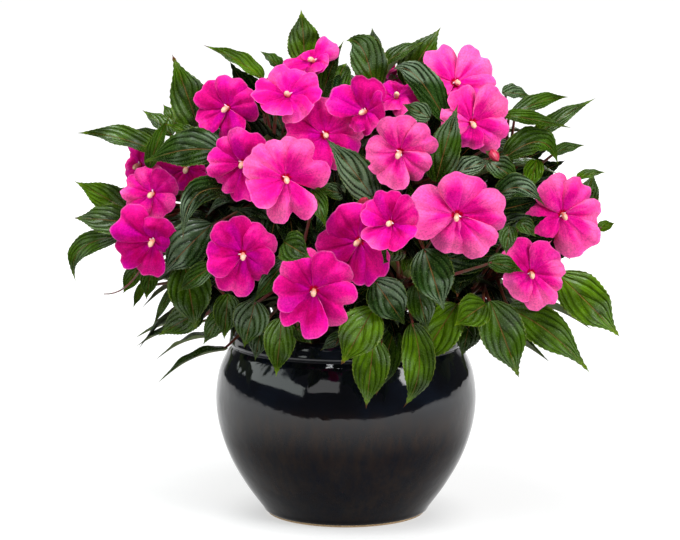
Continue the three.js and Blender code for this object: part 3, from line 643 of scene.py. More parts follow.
VEIN_PAIRS = 3
VEIN_SWEEP = 0.95
VEIN_CURVE = 1.5
LARGE_LEAF = 29
TOOTH_DEPTH = 0.045
LEAF_RUFFLE = 0.09
LEAF_QUILT = 0.03
LEAF_DROOP = 0.03
RIB_HEIGHT = 1.1
RIM = 0.999


def vein_phase(across, along):
    return (along - VEIN_SWEEP * np.abs(across) ** VEIN_CURVE) * VEIN_PAIRS


def leaf_sheets(leaf, chance, rows, columns, top=0, under=1):
    """A pointed, toothed and quilted blade along its curve, with an upper and a lower face."""
    line = leaf["line"]
    length = np.linalg.norm(line[2] - line[0])
    along_share = np.linspace(0, 1, rows)
    across_share = np.linspace(-1, 1, columns)
    t = along_share[:, None]
    s = across_share[None, :]
    centre = quadratic(line, along_share)
    tangent = quadratic_along(line, along_share)
    side = unit(np.cross(tangent, leaf["facing"]))
    normal = unit(np.cross(side, tangent))
    power = 0.72 if leaf["width"] > LARGE_LEAF else 0.64
    outline = np.sin(math.pi * along_share ** power) ** 0.95
    outline *= 1 - 0.68 * smooth(along_share, 0.58, 1.0)
    outline = np.maximum(outline, 0)
    half = leaf["width"] / 2 * outline + 1.1 * (1 - along_share) ** 6
    half[-1] = 0
    teeth = TOOTH_DEPTH * leaf["width"] / 2 * (np.arange(rows) % 2) * smooth(along_share, 0.08, 0.2)
    rim = np.abs(s) > RIM
    toothed = rim * np.sign(s) * (outline > 0.05)[:, None]
    lateral = half[:, None] * s + toothed * teeth[:, None]
    ruffle_turn = chance.uniform(0, 6.28, 2)
    waves = chance.uniform(2.2, 3.6)
    ruffle_side = np.where(s > 0, ruffle_turn[0], ruffle_turn[1])
    ruffle = LEAF_RUFFLE * np.abs(s) ** 2.5 * np.sin(2 * math.pi * waves * t + ruffle_side)
    near = np.abs((vein_phase(s, t) + 0.5) % 1 - 0.5)
    flank = (1 - np.abs(s) ** 4) * smooth(np.abs(s), 0.0, 0.25) * (np.abs(s) < 0.7)
    quilt = smooth(near, 0.0, 0.45) * flank
    height = half[:, None] * (LEAF_FOLD * np.abs(s) ** 1.25 + ruffle + LEAF_QUILT * quilt)
    height = height - LEAF_DROOP * length * smooth(t, 0.6, 1.0) * (1 - t)
    sideways = side[:, None] * lateral[..., None]
    points = centre[:, None] + sideways + normal[:, None] * height[..., None]
    body = (1 - np.abs(s) ** 8) * smooth(t, 0.0, 0.03) * (1 - t ** 12)
    midrib = RIB_HEIGHT * np.exp(-(s / 0.07) ** 2) * (1 - t) * smooth(t, 0.0, 0.05)
    thickness = (LEAF_THICKNESS * body + midrib) * (1 - rim)
    pattern = stacked(s, t, leaf["tone"])
    return two_faces(points, thickness, pattern, (top, under), False, (False, True))


def leaf_stalk(knot, leaf, radius, skin):
    """A round stalk that sags a little and runs 3 mm on under the blade."""
    base = leaf["line"][0]
    end = base + quadratic_along(leaf["line"], 0.0) * 3
    bend = (knot + base) / 2 - UP * 0.04 * np.linalg.norm(base - knot)
    line = quadratic((knot, bend, end), np.linspace(0, 1, 9))
    radii = np.linspace(1.25 * radius, 0.75 * radius, 9)
    return tube(line, radii, 7, skin, leaf["tone"])


# Flowers

PETAL_GRID = (15, 25)
PETAL_STEP = 2.2
PETAL_RUFFLE = 0.036
PETAL_FRILL = 0.01
PETAL_ROLL = 0.13
PETAL_CREASE = 0.05
PETAL_DOME = 0.09

# Places of the materials in a piece, after the front and the back of its blades or petals
COLUMN_FACE = 2
STEM_FACE = 2
STALK_FACE = 3
SEPAL_FACE = 4


def petal_spread(angles, angle):
    away = [(other - angle) % 360 for other in angles if other != angle]
    room = min(away) + 360 - max(away)
    return min(max(room / 144, 0.75), 1.3)


def petal_sheets(flower, angle, chance):
    """A broad, notched petal with a soft wave along its margin."""
    details = flower.details
    turn = math.radians(angle)
    radius = details["radius"]
    cup = details.get("cup", 0.22)
    reach = radius * (1 + 0.05 * math.sin(3 * turn)) * chance.uniform(0.92, 1.0)
    reach *= details.get("shares", {}).get(angle, 1.0)
    spread = petal_spread(details["petals"], angle)
    notched = angle in details.get("notched", ())
    if angle in details.get("narrow", ()):
        spread *= 0.8
    half = 0.5 * radius * spread
    widest = math.atan2(half, 0.6 * reach) * (1.3 if notched else 1.15)
    notch = 0.28 if notched else chance.uniform(0.03, 0.12)
    lift = PETAL_STEP * (angle in details.get("front", ()))
    lift -= PETAL_STEP * (angle in details.get("behind", ()))
    lift += chance.uniform(-0.7, 0.7)
    pitch = chance.uniform(-0.1, 0.14)
    twist = PETAL_TILT + chance.uniform(-0.02, 0.18)
    ruffled = details.get("ruffled", 1.0)
    rows, columns = PETAL_GRID
    r = np.linspace(0.05, 1, rows)[:, None]
    s = np.linspace(-1, 1, columns)[None, :]
    lean = chance.uniform(-0.16, 0.16)
    wave = chance.uniform(0, 6.28, 3)
    edge = reach * (0.3 + 0.7 * np.sqrt(np.maximum(1 - np.abs(s) ** 3.8, 0)))
    edge = edge * (1 - notch * np.exp(-((s - lean) / 0.16) ** 2))
    edge = edge * (1 + 0.014 * np.sin(8 * s + wave[0]) + 0.008 * np.sin(21 * s + wave[1]))
    theta = s * widest * (1 + 0.06 * (1 - r))
    out = r * edge * np.cos(theta)
    side = r * edge * np.sin(theta)
    ruffle = PETAL_RUFFLE * radius * ruffled * r ** 4 * np.sin(6 * s + wave[2])
    ruffle = ruffle + PETAL_FRILL * radius * r ** 6 * np.sin(17 * s + wave[1])
    roll = -PETAL_ROLL * radius * smooth(r, 0.6, 1.0) * chance.uniform(0.1, 1.6)
    crease = -PETAL_CREASE * radius * np.exp(-((s - 0.5 * lean) / 0.12) ** 2) * np.sin(math.pi * r)
    dome = PETAL_DOME * radius * np.sin(math.pi * r) * (1 - s ** 2)
    height = cup * radius * (out / radius) ** 2 + twist * side + pitch * out * smooth(r, 0.15, 0.7)
    height = height + ruffle + roll + crease + dome + lift * smooth(r, 0.1, 0.5)
    along = np.array([math.cos(turn), math.sin(turn), 0.0])
    across = np.array([-math.sin(turn), math.cos(turn), 0.0])
    front = np.array([0.0, 0.0, 1.0])
    local = out[..., None] * along + side[..., None] * across + height[..., None] * front
    points = flower.world(local)
    body = (1 - np.abs(s) ** 8) * (1 - r ** 10)
    thickness = PETAL_THICKNESS * body * (np.abs(s) < RIM) * (r < RIM)
    # The bloom's light, partly its own colour and partly painted shade, sets most of the petals' tone
    tone = 0.72 * details.get("light", 0.5) + 0.28 * chance.uniform(0, 1)
    return two_faces(points, thickness, stacked(s, r, tone), (0, 1), True, (False, False))


def heart_sheets(flower, chance):
    """The rounded cream column with its pale flaps, and the small green cone behind the petals."""
    rise = np.array([-1.0, 0.6, 2.0, 3.4, 4.8, 6.0, 7.0, 7.6])
    column = [1.4, 1.5, 1.6, 1.9, 2.1, 1.9, 1.2, 0.0]
    sway = chance.uniform(-0.2, 0.2)
    line = [flower.world((sway * z, -0.07 * max(z, 0) ** 2, z)) for z in rise]
    made = [tube(line, column, 14, COLUMN_FACE, 0.4, pinched=(False, True))]
    for turn in (0, 180):
        angle = math.radians(turn + chance.uniform(-60, 90))
        reach = chance.uniform(2.4, 3.8)
        flap = zip([0.6, 1.4, 0.8 * reach, reach], [0.5, 2.2, 3.0, 3.2])
        line = [flower.world((out * math.cos(angle), out * math.sin(angle), z)) for out, z in flap]
        made.append(tube(line, [0.7, 0.7, 0.45, 0.0], 6, COLUMN_FACE, 1.0, pinched=(False, True)))
    line = [flower.world((0, 0, z)) for z in (-3.6, -3.0, -1.8, -0.4)]
    made.append(tube(line, [0.0, 1.5, 2.2, 2.6], 10, STALK_FACE, 0.5, pinched=(True, False)))
    return made


def sepal_sheets(flower, chance, reach, width):
    """Two small pointed sepals behind the petals."""
    made = []
    for side in (-1, 1):
        base = flower.world((side * 1.2, 0, -2))
        bend = flower.world((side * 0.6 * reach, 0.5, -2.6))
        tip = flower.world((side * reach, 1.5, -4.5))
        facing = unit(flower.world((0, 0, 1)) - flower.position)
        sepal = blade(base, bend, tip, facing, width, 0.7)
        made += leaf_sheets(sepal, chance, 7, 5, top=SEPAL_FACE, under=SEPAL_FACE)
    return made


def hanging_spur(flower, length, sway):
    bend = flower.world((0.15 * sway * length, 0, -0.5 * length)) - UP * 0.1 * length
    tip = flower.world((0.4 * sway * length, 0, -0.6 * length)) - UP * 0.8 * length
    return bend, tip


def spur_sheet(flower, bend, tip):
    share = np.linspace(0, 1, 12)
    line = quadratic((flower.world((0, 0, -1)), bend, tip), share)
    radii = np.interp(share, [0, 0.12, 0.5, 1], [1.9, 1.1, 0.75, 0.42])
    return tube(line, radii, 7, STALK_FACE, 1.0)


def stalk_sheet(points, tone):
    """A flower's round stalk, which widens where it meets the flower."""
    share = np.linspace(0, 1, 15)
    radii = FLOWER_STALK * (1 + 0.35 * (1 - smooth(share, 0.0, 0.08)))
    return tube(quadratic(points, share), radii, 8, STALK_FACE, tone)


# Materials

# Colours of the leaves' upper face, from its green to its marks and a painted sheen
LEAF_DARK = (0.005, 0.02, 0.003)
LEAF_MIDDLE = (0.025, 0.062, 0.001)
LEAF_BRIGHT = (0.075, 0.16, 0.001)
LEAF_PAINTED_SHEEN = (0.15, 0.22, 0.13)
LEAF_CELLS = (0.14, 0.24, 0.03)
LEAF_RIM = (0.22, 0.29, 0.04)
LEAF_TIP = (0.26, 0.4, 0.01)
LEAF_RUST = (0.16, 0.05, 0.02)
SPINE_OLIVE = (0.18, 0.12, 0.03)
SPINE_RED = (0.16, 0.035, 0.012)

# Colours of the leaves' lower face
UNDER_DARK = (0.08, 0.13, 0.05)
UNDER_PALE = (0.2, 0.29, 0.06)
UNDER_VEIN = (0.32, 0.36, 0.2)
UNDER_BRONZE = (0.17, 0.1, 0.07)
UNDER_SPINE = (0.34, 0.16, 0.1)

# Colours of the petals: deep, middle and pale pink of each face, and their marks, with a painted shadow on
# the tucked flank and a painted highlight on the rim
PETAL_FRONT = [(0.37, 0.0, 0.08), (0.82, 0.007, 0.27), (0.98, 0.13, 0.39)]
PETAL_BACK = [(0.55, 0.01, 0.2), (0.85, 0.03, 0.34), (1.0, 0.15, 0.5)]
PETAL_BLUSH = (0.56, 0.0, 0.34)
PETAL_LINE = (0.46, 0.0, 0.19)
PETAL_THROAT = (0.5, 0.0, 0.3)
PETAL_EYE = (0.42, 0.0, 0.02)
PETAL_PAINTED_SHADOW = (0.36, 0.0, 0.12)
PETAL_RIM_HIGHLIGHT = (0.98, 0.2, 0.55)

# Colours of the flowers' columns and of the buds
COLUMN_LOW = (0.78, 0.3, 0.18)
COLUMN_HIGH = (0.84, 0.52, 0.34)
COLUMN_SPOT = (0.85, 0.35, 0.35)
COLUMN_ROOT = (0.6, 0.02, 0.04)
COLUMN_FLAP = (0.86, 0.6, 0.8)
BUD_DEEP = (0.26, 0.004, 0.016)
BUD_BRIGHT = (0.6, 0.03, 0.1)
BUD_TOP = (0.6, 0.09, 0.14)

# Colours of the pot and its soil. A pair is mixed by streaks or grains. The glaze's middle pair paints a
# brownish reflection and its bottom pair painted shade.
GLAZE_UPPER = [(0.0018, 0.0022, 0.004), (0.003, 0.005, 0.01)]
GLAZE_BELLY_REFLECTION = [(0.003, 0.0035, 0.006), (0.019, 0.009, 0.005)]
GLAZE_BOTTOM_SHADE = [(0.001, 0.0015, 0.005), (0.006, 0.0035, 0.004)]
GLAZE_HAZE = [(0.006, 0.006, 0.008), (0.018, 0.011, 0.008)]
GLAZE_FLECK = (0.034, 0.026, 0.02)
BARE_CLAY = [(0.5, 0.32, 0.16), (0.78, 0.56, 0.32)]
SOIL_GRAINS = [(0.008, 0.005, 0.003), (0.05, 0.03, 0.018)]
SOIL_CLUMPS = (0.075, 0.048, 0.028)


class Value:
    """A shader node's output, for sums and products with other outputs or with numbers."""

    def __init__(self, socket):
        self.socket = socket

    def __add__(self, other):
        return maths("ADD", self, other)

    def __sub__(self, other):
        return maths("SUBTRACT", self, other)

    def __rsub__(self, other):
        return maths("SUBTRACT", other, self)

    def __mul__(self, other):
        return maths("MULTIPLY", self, other)

    def __pow__(self, other):
        return maths("POWER", self, other)

    def __abs__(self):
        return maths("ABSOLUTE", self)


def connect(node, inputs):
    """Links values to a node's sockets, and sets plain numbers and colours on them."""
    for key, value in inputs.items():
        socket = node.inputs[key]
        if isinstance(value, Value):
            node.id_data.links.new(value.socket, socket)
        elif socket.type == "RGBA":
            socket.default_value = (*value, 1.0)
        else:
            socket.default_value = value


def add_node(kind, inputs, tree=None, **settings):
    """A new node in the tree of its inputs, or in the given one."""
    if tree is None:
        tree = next(value.socket.id_data for value in inputs.values() if isinstance(value, Value))
    made = tree.nodes.new(kind)
    for key, value in settings.items():
        setattr(made, key, value)
    connect(made, inputs)
    return made


def output(made, key=0):
    return Value(made.outputs[key])


def maths(operation, first, second=0.0):
    return output(add_node("ShaderNodeMath", {0: first, 1: second}, operation=operation))


def ranged(value, low, high, start=0.0, end=1.0):
    inputs = {"Value": value, "From Min": low, "From Max": high, "To Min": start, "To Max": end}
    return output(add_node("ShaderNodeMapRange", inputs, interpolation_type="SMOOTHSTEP"))


def mixed(share, first, second, blend="MIX"):
    inputs = {0: share, 6: first, 7: second}
    return output(add_node("ShaderNodeMix", inputs, data_type="RGBA", blend_type=blend), 2)


def dimmed(colour, share):
    return mixed(1.0, colour, combined(share, share, share), "MULTIPLY")


def noise(vector, scale, detail=3.0, roughness=0.5):
    inputs = {"Vector": vector, "Scale": scale, "Detail": detail, "Roughness": roughness}
    return output(add_node("ShaderNodeTexNoise", inputs))


def combined(x, y, z):
    return output(add_node("ShaderNodeCombineXYZ", {0: x, 1: y, 2: z}))


def parts_of(vector):
    made = add_node("ShaderNodeSeparateXYZ", {0: vector})
    return [output(made, k) for k in range(3)]


def bump(height, strength, distance):
    inputs = {"Height": height, "Strength": strength, "Distance": distance}
    return output(add_node("ShaderNodeBump", inputs))


def new_material(name):
    material = bpy.data.materials.new(name)
    material.use_nodes = True
    tree = material.node_tree
    return material, tree, tree.nodes["Principled BSDF"]


def pattern_of(tree):
    made = add_node("ShaderNodeAttribute", {}, tree, attribute_type="GEOMETRY", attribute_name="pattern")
    return parts_of(output(made, "Vector"))


def place_of(tree):
    return output(add_node("ShaderNodeTexCoord", {}, tree), "Object")


def leaf_marks(tree):
    """What both faces of a blade show. Its veins and swells lie as on the blades' own quilting. Its patches
    of gloss also place the upper face's painted sheen.
    """
    across, along, tone = pattern_of(tree)
    place = place_of(tree)
    inward = abs(across)
    drift = ranged(noise(place, 60.0, 2.0), 0.3, 0.7, -0.03, 0.03)
    phase = (along + drift - inward ** VEIN_CURVE * VEIN_SWEEP) * VEIN_PAIRS
    near = maths("PINGPONG", phase, 0.5)
    return SimpleNamespace(
        along=along,
        tone=tone,
        veins=ranged(near, 0.01, 0.07, 1.0, 0.0),
        swells=ranged(near, 0.02, 0.34),
        puckers=noise(combined(inward * 5.0, phase * 1.6, 0.0), 1.5, 2.0),
        cells=noise(place, 900.0, 4.0, 0.6),
        patches=noise(place, 38.0),
        gloss_and_painted_sheen=ranged(noise(place, 30.0, 2.0), 0.45, 0.62),
        rusty=ranged(noise(place, 11.0, 1.0), 0.56, 0.6),
        midrib=ranged(inward, 0.012, 0.045, 1.0, 0.0),
        rim=ranged(inward, 0.94, 1.0),
        tip=ranged(along, 0.8, 1.0),
    )


def under_green(marks):
    green = mixed(ranged(marks.tone, 0.0, 1.0), UNDER_DARK, UNDER_PALE)
    # Painted shade: a tone below zero darkens the leaves that lie deep in the mound
    green = dimmed(green, ranged(marks.tone, -1.0, 0.1, 0.25, 1.0))
    green = mixed(marks.veins * 0.6, green, UNDER_VEIN)
    green = mixed(marks.patches * 0.3, green, UNDER_BRONZE)
    return mixed(marks.midrib * 0.8, green, UNDER_SPINE)


def upper_green(marks):
    tone = marks.tone
    green = mixed(ranged(tone, 0.0, 0.4), LEAF_DARK, LEAF_MIDDLE)
    green = mixed(ranged(tone, 0.35, 1.0), green, LEAF_BRIGHT)
    # Painted light and shade: the swells a little lighter, and leaves with a tone below zero darker the
    # deeper they lie; patches and puckers vary the tone
    tone_and_painted_shade = marks.swells * 0.1 + 0.68
    tone_and_painted_shade = tone_and_painted_shade * ranged(marks.patches, 0.3, 0.7, 0.42, 1.8)
    tone_and_painted_shade = tone_and_painted_shade * ranged(tone, -1.0, 0.1, 0.08, 1.0)
    tone_and_painted_shade = tone_and_painted_shade * ranged(marks.puckers, 0.3, 0.7, 0.8, 1.2)
    green = dimmed(green, tone_and_painted_shade)
    # Painted sheen: a pale silvery green on the swells of dark leaves, in the patches of gloss
    painted_sheen = marks.swells * marks.gloss_and_painted_sheen * ranged(abs(tone), 0.5, 0.1, 0.14, 0.6)
    green = mixed(painted_sheen, green, LEAF_PAINTED_SHEEN)
    green = mixed(ranged(marks.cells, 0.45, 0.7) * 0.16, green, LEAF_CELLS)
    green = dimmed(green, 1.0 - marks.veins * 0.36)
    green = mixed(marks.rim * ranged(tone, 0.0, 1.0, 0.25, 0.6), green, LEAF_RIM)
    green = mixed(marks.tip * tone, green, LEAF_TIP)
    spine = mixed(marks.patches, SPINE_OLIVE, SPINE_RED)
    return mixed(marks.midrib * 0.75, green, spine)


def leaf_material(name, under):
    material, tree, shader = new_material(name)
    marks = leaf_marks(tree)
    green = under_green(marks) if under else upper_green(marks)
    smoothest, roughest = (0.5, 0.68) if under else (0.18, 0.3)
    most_gloss = 0.25 if under else 0.38
    vein_rise, spine_rise = (1.0, 1.0) if under else (-0.5, -0.9)
    gloss = ranged(marks.tone, -0.9, 0.2, 0.03, most_gloss)
    height = marks.swells + marks.veins * vein_rise + marks.midrib * spine_rise
    height = height + marks.puckers * 0.7 + marks.cells * 0.25
    connect(shader, {
        "Base Color": mixed(ranged(marks.along, 0.9, 0.96) * marks.rusty, green, LEAF_RUST),
        "Roughness": ranged(marks.cells, 0.3, 0.7, smoothest, roughest),
        "Specular IOR Level": gloss * ranged(marks.gloss_and_painted_sheen, 0.0, 1.0, 0.35, 1.6),
        "Normal": bump(height, 0.75, 0.0014),
    })
    return material


def petal_pink(across, along, tone, veins, back):
    """Pink that pales outwards, with a blush, deep lines, a dark throat, a painted shadow on the flank
    tucked under the next petal and a painted highlight on the rim.
    """
    seed = tone * 31.0
    patches = noise(combined(across, along, seed), 1.4, 2.0)
    deep, middle, pale = PETAL_BACK if back else PETAL_FRONT
    share = ranged(along, 0.25, 0.95) * 0.36 + tone * 0.75
    share = share + ranged(patches, 0.3, 0.7, -0.14, 0.2)
    pink = mixed(ranged(share, 0.1, 0.75), deep, middle)
    pink = mixed(ranged(share, 0.55, 1.15), pink, pale)
    strong = ranged(tone, 0.3, 0.8, 1.0, 0.4)
    blush = ranged(noise(combined(across, along, seed + 9.0), 1.1, 1.0), 0.5, 0.68)
    pink = mixed(blush * strong * 0.55, pink, PETAL_BLUSH)
    pink = mixed(ranged(veins, 0.5, 0.66) * ranged(along, 0.98, 0.5) * 0.52, pink, PETAL_LINE)
    throat = ranged(along, 0.55, 0.15) * ranged(patches, 0.3, 0.7, 0.1, 0.6)
    pink = mixed(throat * strong, pink, PETAL_THROAT)
    if not back:
        pink = mixed(ranged(along, 0.15, 0.1), pink, PETAL_EYE)
    # Painted shadow where the next petal's edge lies over this petal's tucked flank
    painted_flank_shadow = ranged(across, -0.4, -0.85, 0.0, 0.42) * ranged(along, 1.0, 0.6)
    pink = mixed(painted_flank_shadow, pink, PETAL_PAINTED_SHADOW)
    # Painted highlight: a thin light line along the petal's rim
    rim = maths("MAXIMUM", ranged(along, 0.95, 1.0), ranged(across, 0.93, 0.99))
    return mixed(rim * 0.35, pink, PETAL_RIM_HIGHLIGHT)


def petal_material(name, back):
    material, tree, shader = new_material(name)
    across, along, tone = pattern_of(tree)
    place = place_of(tree)
    veins = noise(combined(across * 5.5, along * 0.5, tone * 31.0), 3.2, 4.0, 0.62)
    velvet = noise(place, 1500.0, 2.0, 0.6)
    grain = ranged(noise(place, 620.0, 3.0, 0.7), 0.3, 0.7, 0.76, 1.14)
    height = veins * 1.2 + ranged(abs(across), 0.0, 0.08, -0.6, 0.0) + velvet * 0.3
    connect(shader, {
        "Base Color": dimmed(petal_pink(across, along, tone, veins, back), grain),
        "Roughness": 0.58,
        "Specular IOR Level": 0.02,
        "Sheen Weight": 0.02,
        "Sheen Roughness": 0.45,
        "Sheen Tint": (1.0, 0.55, 0.85),
        "Subsurface Weight": 0.12,
        "Subsurface Radius": (0.9, 0.15, 0.45),
        "Subsurface Scale": 0.003,
        "Normal": bump(height, 0.45, 0.0007),
    })
    return material


def column_material():
    material, tree, shader = new_material("column_cream")
    _, along, tone = pattern_of(tree)
    spots = noise(place_of(tree), 700.0)
    cream = mixed(ranged(along, 4.5, 8.0), COLUMN_LOW, COLUMN_HIGH)
    cream = mixed(ranged(spots, 0.5, 0.7), cream, COLUMN_SPOT)
    cream = mixed(ranged(along, 2.6, 0.8), cream, COLUMN_ROOT)
    connect(shader, {
        "Base Color": mixed(ranged(tone, 0.6, 0.9), cream, COLUMN_FLAP),
        "Roughness": 0.5,
        "Subsurface Weight": 0.2,
        "Subsurface Radius": (0.8, 0.4, 0.2),
        "Subsurface Scale": 0.002,
        "Normal": bump(spots, 0.4, 0.0008),
    })
    return material


def stem_material(name, green, red):
    material, tree, shader = new_material(name)
    around, along, tone = pattern_of(tree)
    flow = noise(combined(around * 9.0, along * 0.06, tone), 2.4, 4.0)
    mottle = noise(place_of(tree), 260.0)
    connect(shader, {
        "Base Color": mixed(ranged(flow * 0.7 + mottle, 0.6, 1.0), green, red),
        "Roughness": ranged(mottle, 0.3, 0.7, 0.3, 0.5),
        "Subsurface Weight": 0.12,
        "Subsurface Radius": (0.6, 0.4, 0.1),
        "Subsurface Scale": 0.002,
        "Normal": bump(flow, 0.35, 0.0008),
    })
    return material


def bud_material():
    material, tree, shader = new_material("bud_red")
    around, along, tone = pattern_of(tree)
    flow = noise(combined(around * 7.0, along * 0.09, tone), 2.2)
    red = mixed(ranged(flow, 0.35, 0.7), BUD_DEEP, BUD_BRIGHT)
    connect(shader, {
        "Base Color": mixed(ranged(along, 15.0, 18.0), red, BUD_TOP),
        "Roughness": 0.32,
        "Normal": bump(flow, 0.5, 0.001),
    })
    return material


def soil_material():
    material, tree, shader = new_material("potting_soil")
    place = place_of(tree)
    grit = noise(place, 420.0, 6.0, 0.7)
    clumps = noise(place, 90.0, 4.0)
    brown = mixed(ranged(grit, 0.35, 0.7), *SOIL_GRAINS)
    connect(shader, {
        "Base Color": mixed(ranged(clumps, 0.5, 0.8), brown, SOIL_CLUMPS),
        "Roughness": 0.95,
        "Normal": bump(grit + clumps, 0.9, 0.004),
    })
    return material


def glaze_material():
    """Near-black glaze: clear at the shoulder, with duller, streaked and hazy runs below, a painted
    brownish reflection on the belly and painted shade darker towards the bottom.
    """
    material, tree, shader = new_material("pot_glaze")
    place = place_of(tree)
    height = parts_of(place)[2]
    drift = noise(place, 22.0, 4.0, 0.6)
    specks = noise(place, 800.0, 3.0, 0.7)
    waves = noise(place, 30.0)
    upright = output(add_node("ShaderNodeVectorMath", {0: place, 1: (1.0, 1.0, 0.3)}, operation="MULTIPLY"))
    runs = ranged(noise(upright, 150.0, 5.0, 0.7), 0.32, 0.68)
    upper = mixed(ranged(drift, 0.4, 0.65), *GLAZE_UPPER)
    # Painted reflection and shade: brownish on the belly, darker towards the bottom
    colour = mixed(ranged(height, 0.045, 0.09), mixed(runs, *GLAZE_BOTTOM_SHADE), mixed(runs, *GLAZE_BELLY_REFLECTION))
    colour = mixed(ranged(drift, 0.4, 0.62, 0.0, 0.6), colour, mixed(runs, *GLAZE_HAZE))
    colour = mixed(ranged(height, 0.085, 0.105), colour, upper)
    connect(shader, {
        "Base Color": mixed(ranged(specks, 0.6, 0.72) * 0.3, colour, GLAZE_FLECK),
        "Roughness": ranged(drift, 0.3, 0.7, 0.03, 0.08),
        "Specular IOR Level": ranged(height, 0.06, 0.104, 0.08, 0.56),
        "Normal": bump(waves + specks * 0.02, 0.4, 0.002),
    })
    return material


def clay_material():
    material, tree, shader = new_material("bare_clay")
    grain = noise(place_of(tree), 600.0, 5.0, 0.7)
    connect(shader, {
        "Base Color": mixed(ranged(grain, 0.35, 0.7), *BARE_CLAY),
        "Roughness": 0.85,
        "Normal": bump(grain, 0.5, 0.001),
    })
    return material


leaf_top = leaf_material("leaf_top", False)
leaf_under = leaf_material("leaf_under", True)
petal_front = petal_material("petal_front", False)
petal_back = petal_material("petal_back", True)
column = column_material()
stem_skin = stem_material("stem_skin", (0.05, 0.08, 0.02), (0.1, 0.02, 0.012))
stalk_skin = stem_material("stalk_skin", (0.06, 0.05, 0.015), (0.15, 0.012, 0.012))
bud_red = bud_material()


# Blooms and buds

BLOOM_SKINS = [petal_front, petal_back, column, stalk_skin, leaf_under]
BUD_SKINS = [bud_red, bud_red, column, stalk_skin, leaf_under]
LEAF_SKINS = [leaf_top, leaf_under, stem_skin, stalk_skin]


def make_bloom(number, flower, node):
    chance = np.random.RandomState(500 + number)
    sheets = heart_sheets(flower, chance)
    for angle in flower.details["petals"]:
        sheets += petal_sheets(flower, angle, chance)
    sheets += sepal_sheets(flower, chance, 7.0, 3.6)
    bend, tip = hanging_spur(flower, chance.uniform(26, 34), chance.uniform(-1, 1))
    if number == SPURRED:
        bend, tip = [seen_point(pixel) for pixel in SEEN_SPUR]
    sheets.append(spur_sheet(flower, bend, tip))
    sheets.append(stalk_sheet(stalk_points(node, flower), chance.uniform(0, 1)))
    make_piece(f"{node}_flower", sheets, BLOOM_SKINS, [node])


def make_bud(number, flower, node):
    chance = np.random.RandomState(900 + number)
    rise = np.linspace(-7, 9, 13)
    radii = np.interp(rise, [-7, -5.5, -2, 1, 4, 7.2, 9], [0, 2.3, 3.7, 3.9, 3.2, 1.5, 0])
    body = tube([flower.world((0, 0, z)) for z in rise], radii, 14, 0, 0.5, pinched=(True, True))
    sheets = [body, stalk_sheet(stalk_points(node, flower), 0.6)]
    sheets += sepal_sheets(flower, chance, 6.0, 4.0)
    make_piece(f"{node}_flower", sheets, BUD_SKINS, [node])


for number, seen in enumerate(SEEN_BLOOMS, start=1):
    name = f"bloom_{number:02d}"
    make_bloom(number, seen_flower(name, seen, HEART_TIP), name)

bloom_random = seeded_random(REST_SEED)
for i in range(REST_BLOOMS):
    number = len(SEEN_BLOOMS) + i + 1
    name = f"bloom_{number:02d}"
    make_bloom(number, rest_flower(name, bloom_random, i, HEART_TIP), name)

for number, seen in enumerate(SEEN_BUDS, start=1):
    name = f"bud_{number}"
    make_bud(number, seen_flower(name, seen, BUD_TIP), name)

bud_random = seeded_random(REST_SEED + 1)
for i in range(REST_BUDS):
    number = len(SEEN_BUDS) + i + 1
    name = f"bud_{number}"
    make_bud(number, rest_flower(name, bud_random, 2 * i + 3, BUD_TIP), name)


# Leafy stems

# Low leaves of the rules that the picture shows shorter, with their shares
LOW_LEAVES = {1: 0.72, 4: 0.72, 9: 0.75, 17: 0.62}


def shortened(leaf, share):
    base, bend, tip = leaf["line"]
    line = (base, base + (bend - base) * share, base + (tip - base) * share)
    return {**leaf, "line": line, "width": leaf["width"] * share}


leaves = [found_leaf(seen_leaves(seen)) for seen in SEEN_LEAVES]
leaf_random = seeded_random(REST_SEED + 2)
rest = [found_leaf(rest_leaves(leaf_random, i)) for i in range(REST_LEAVES)]
for i, share in LOW_LEAVES.items():
    rest[i] = shortened(rest[i], share)
leaves = [leaf for leaf in leaves + rest if leaf]


def small_leaf(start, direction, length, width, tone, sag, hang):
    """A leaf of the inner growth. Its width is a share of its length. It droops by its sag, and
    turns its face outwards by its hang."""
    base = start + direction * 0.3 * length
    tip = base + direction * length - UP * sag * length
    bend = base + direction * 0.5 * length + UP * 0.12 * length
    flat = unit(direction * np.array([1.0, 1.0, 0.0]))
    return blade(base, bend, tip, unit(UP + flat * hang), width * length, tone)


INNER_PER_KNOT = 5
INNER_WIDTH = 0.46
FRONT_SKIN = 0.84
BACK_SKIN = 0.97


def inner_leaves(node, chance):
    """Leaves round the knots that close the mound, short enough to stay under its skin."""
    made = []
    for knot in knots[node]:
        for turn in range(INNER_PER_KNOT):
            side = math.degrees(math.atan2(knot[0], -knot[1])) + 72 * turn + chance.uniform(-40, 40)
            direction = direction_of(side, chance.uniform(-25, 30))
            length = chance.uniform(40, 74)
            tone = chance.uniform(-0.2, 0.45)
            sag = chance.uniform(0.3, 0.7)
            hang = chance.uniform(0.6, 2.2)
            leaf = small_leaf(knot, direction, length, INNER_WIDTH, tone, sag, hang)
            skin = FRONT_SKIN if leaf["line"][2][1] < -30 else BACK_SKIN
            while mound_share(leaf["line"][2]) > skin and length > 16:
                length *= 0.85
                leaf = small_leaf(knot, direction, length, INNER_WIDTH, tone, sag, hang)
            # Painted shade: the deeper a leaf lies in the mound, the lower its tone and the darker it is
            # painted
            leaf["tone"] -= 1.4 * (1 - smooth(mound_share(leaf["line"][1]), 0.5, 0.95))
            if leaf["line"][2][2] > SOIL_TOP + 12:
                made.append((knot, leaf))
    return made


def nearest_knot(point):
    places = [
        (float(np.linalg.norm(point - knot)), node, k)
        for node in stems
        for k, knot in enumerate(knots[node])
    ]
    _, node, k = min(places)
    return node, knots[node][k]


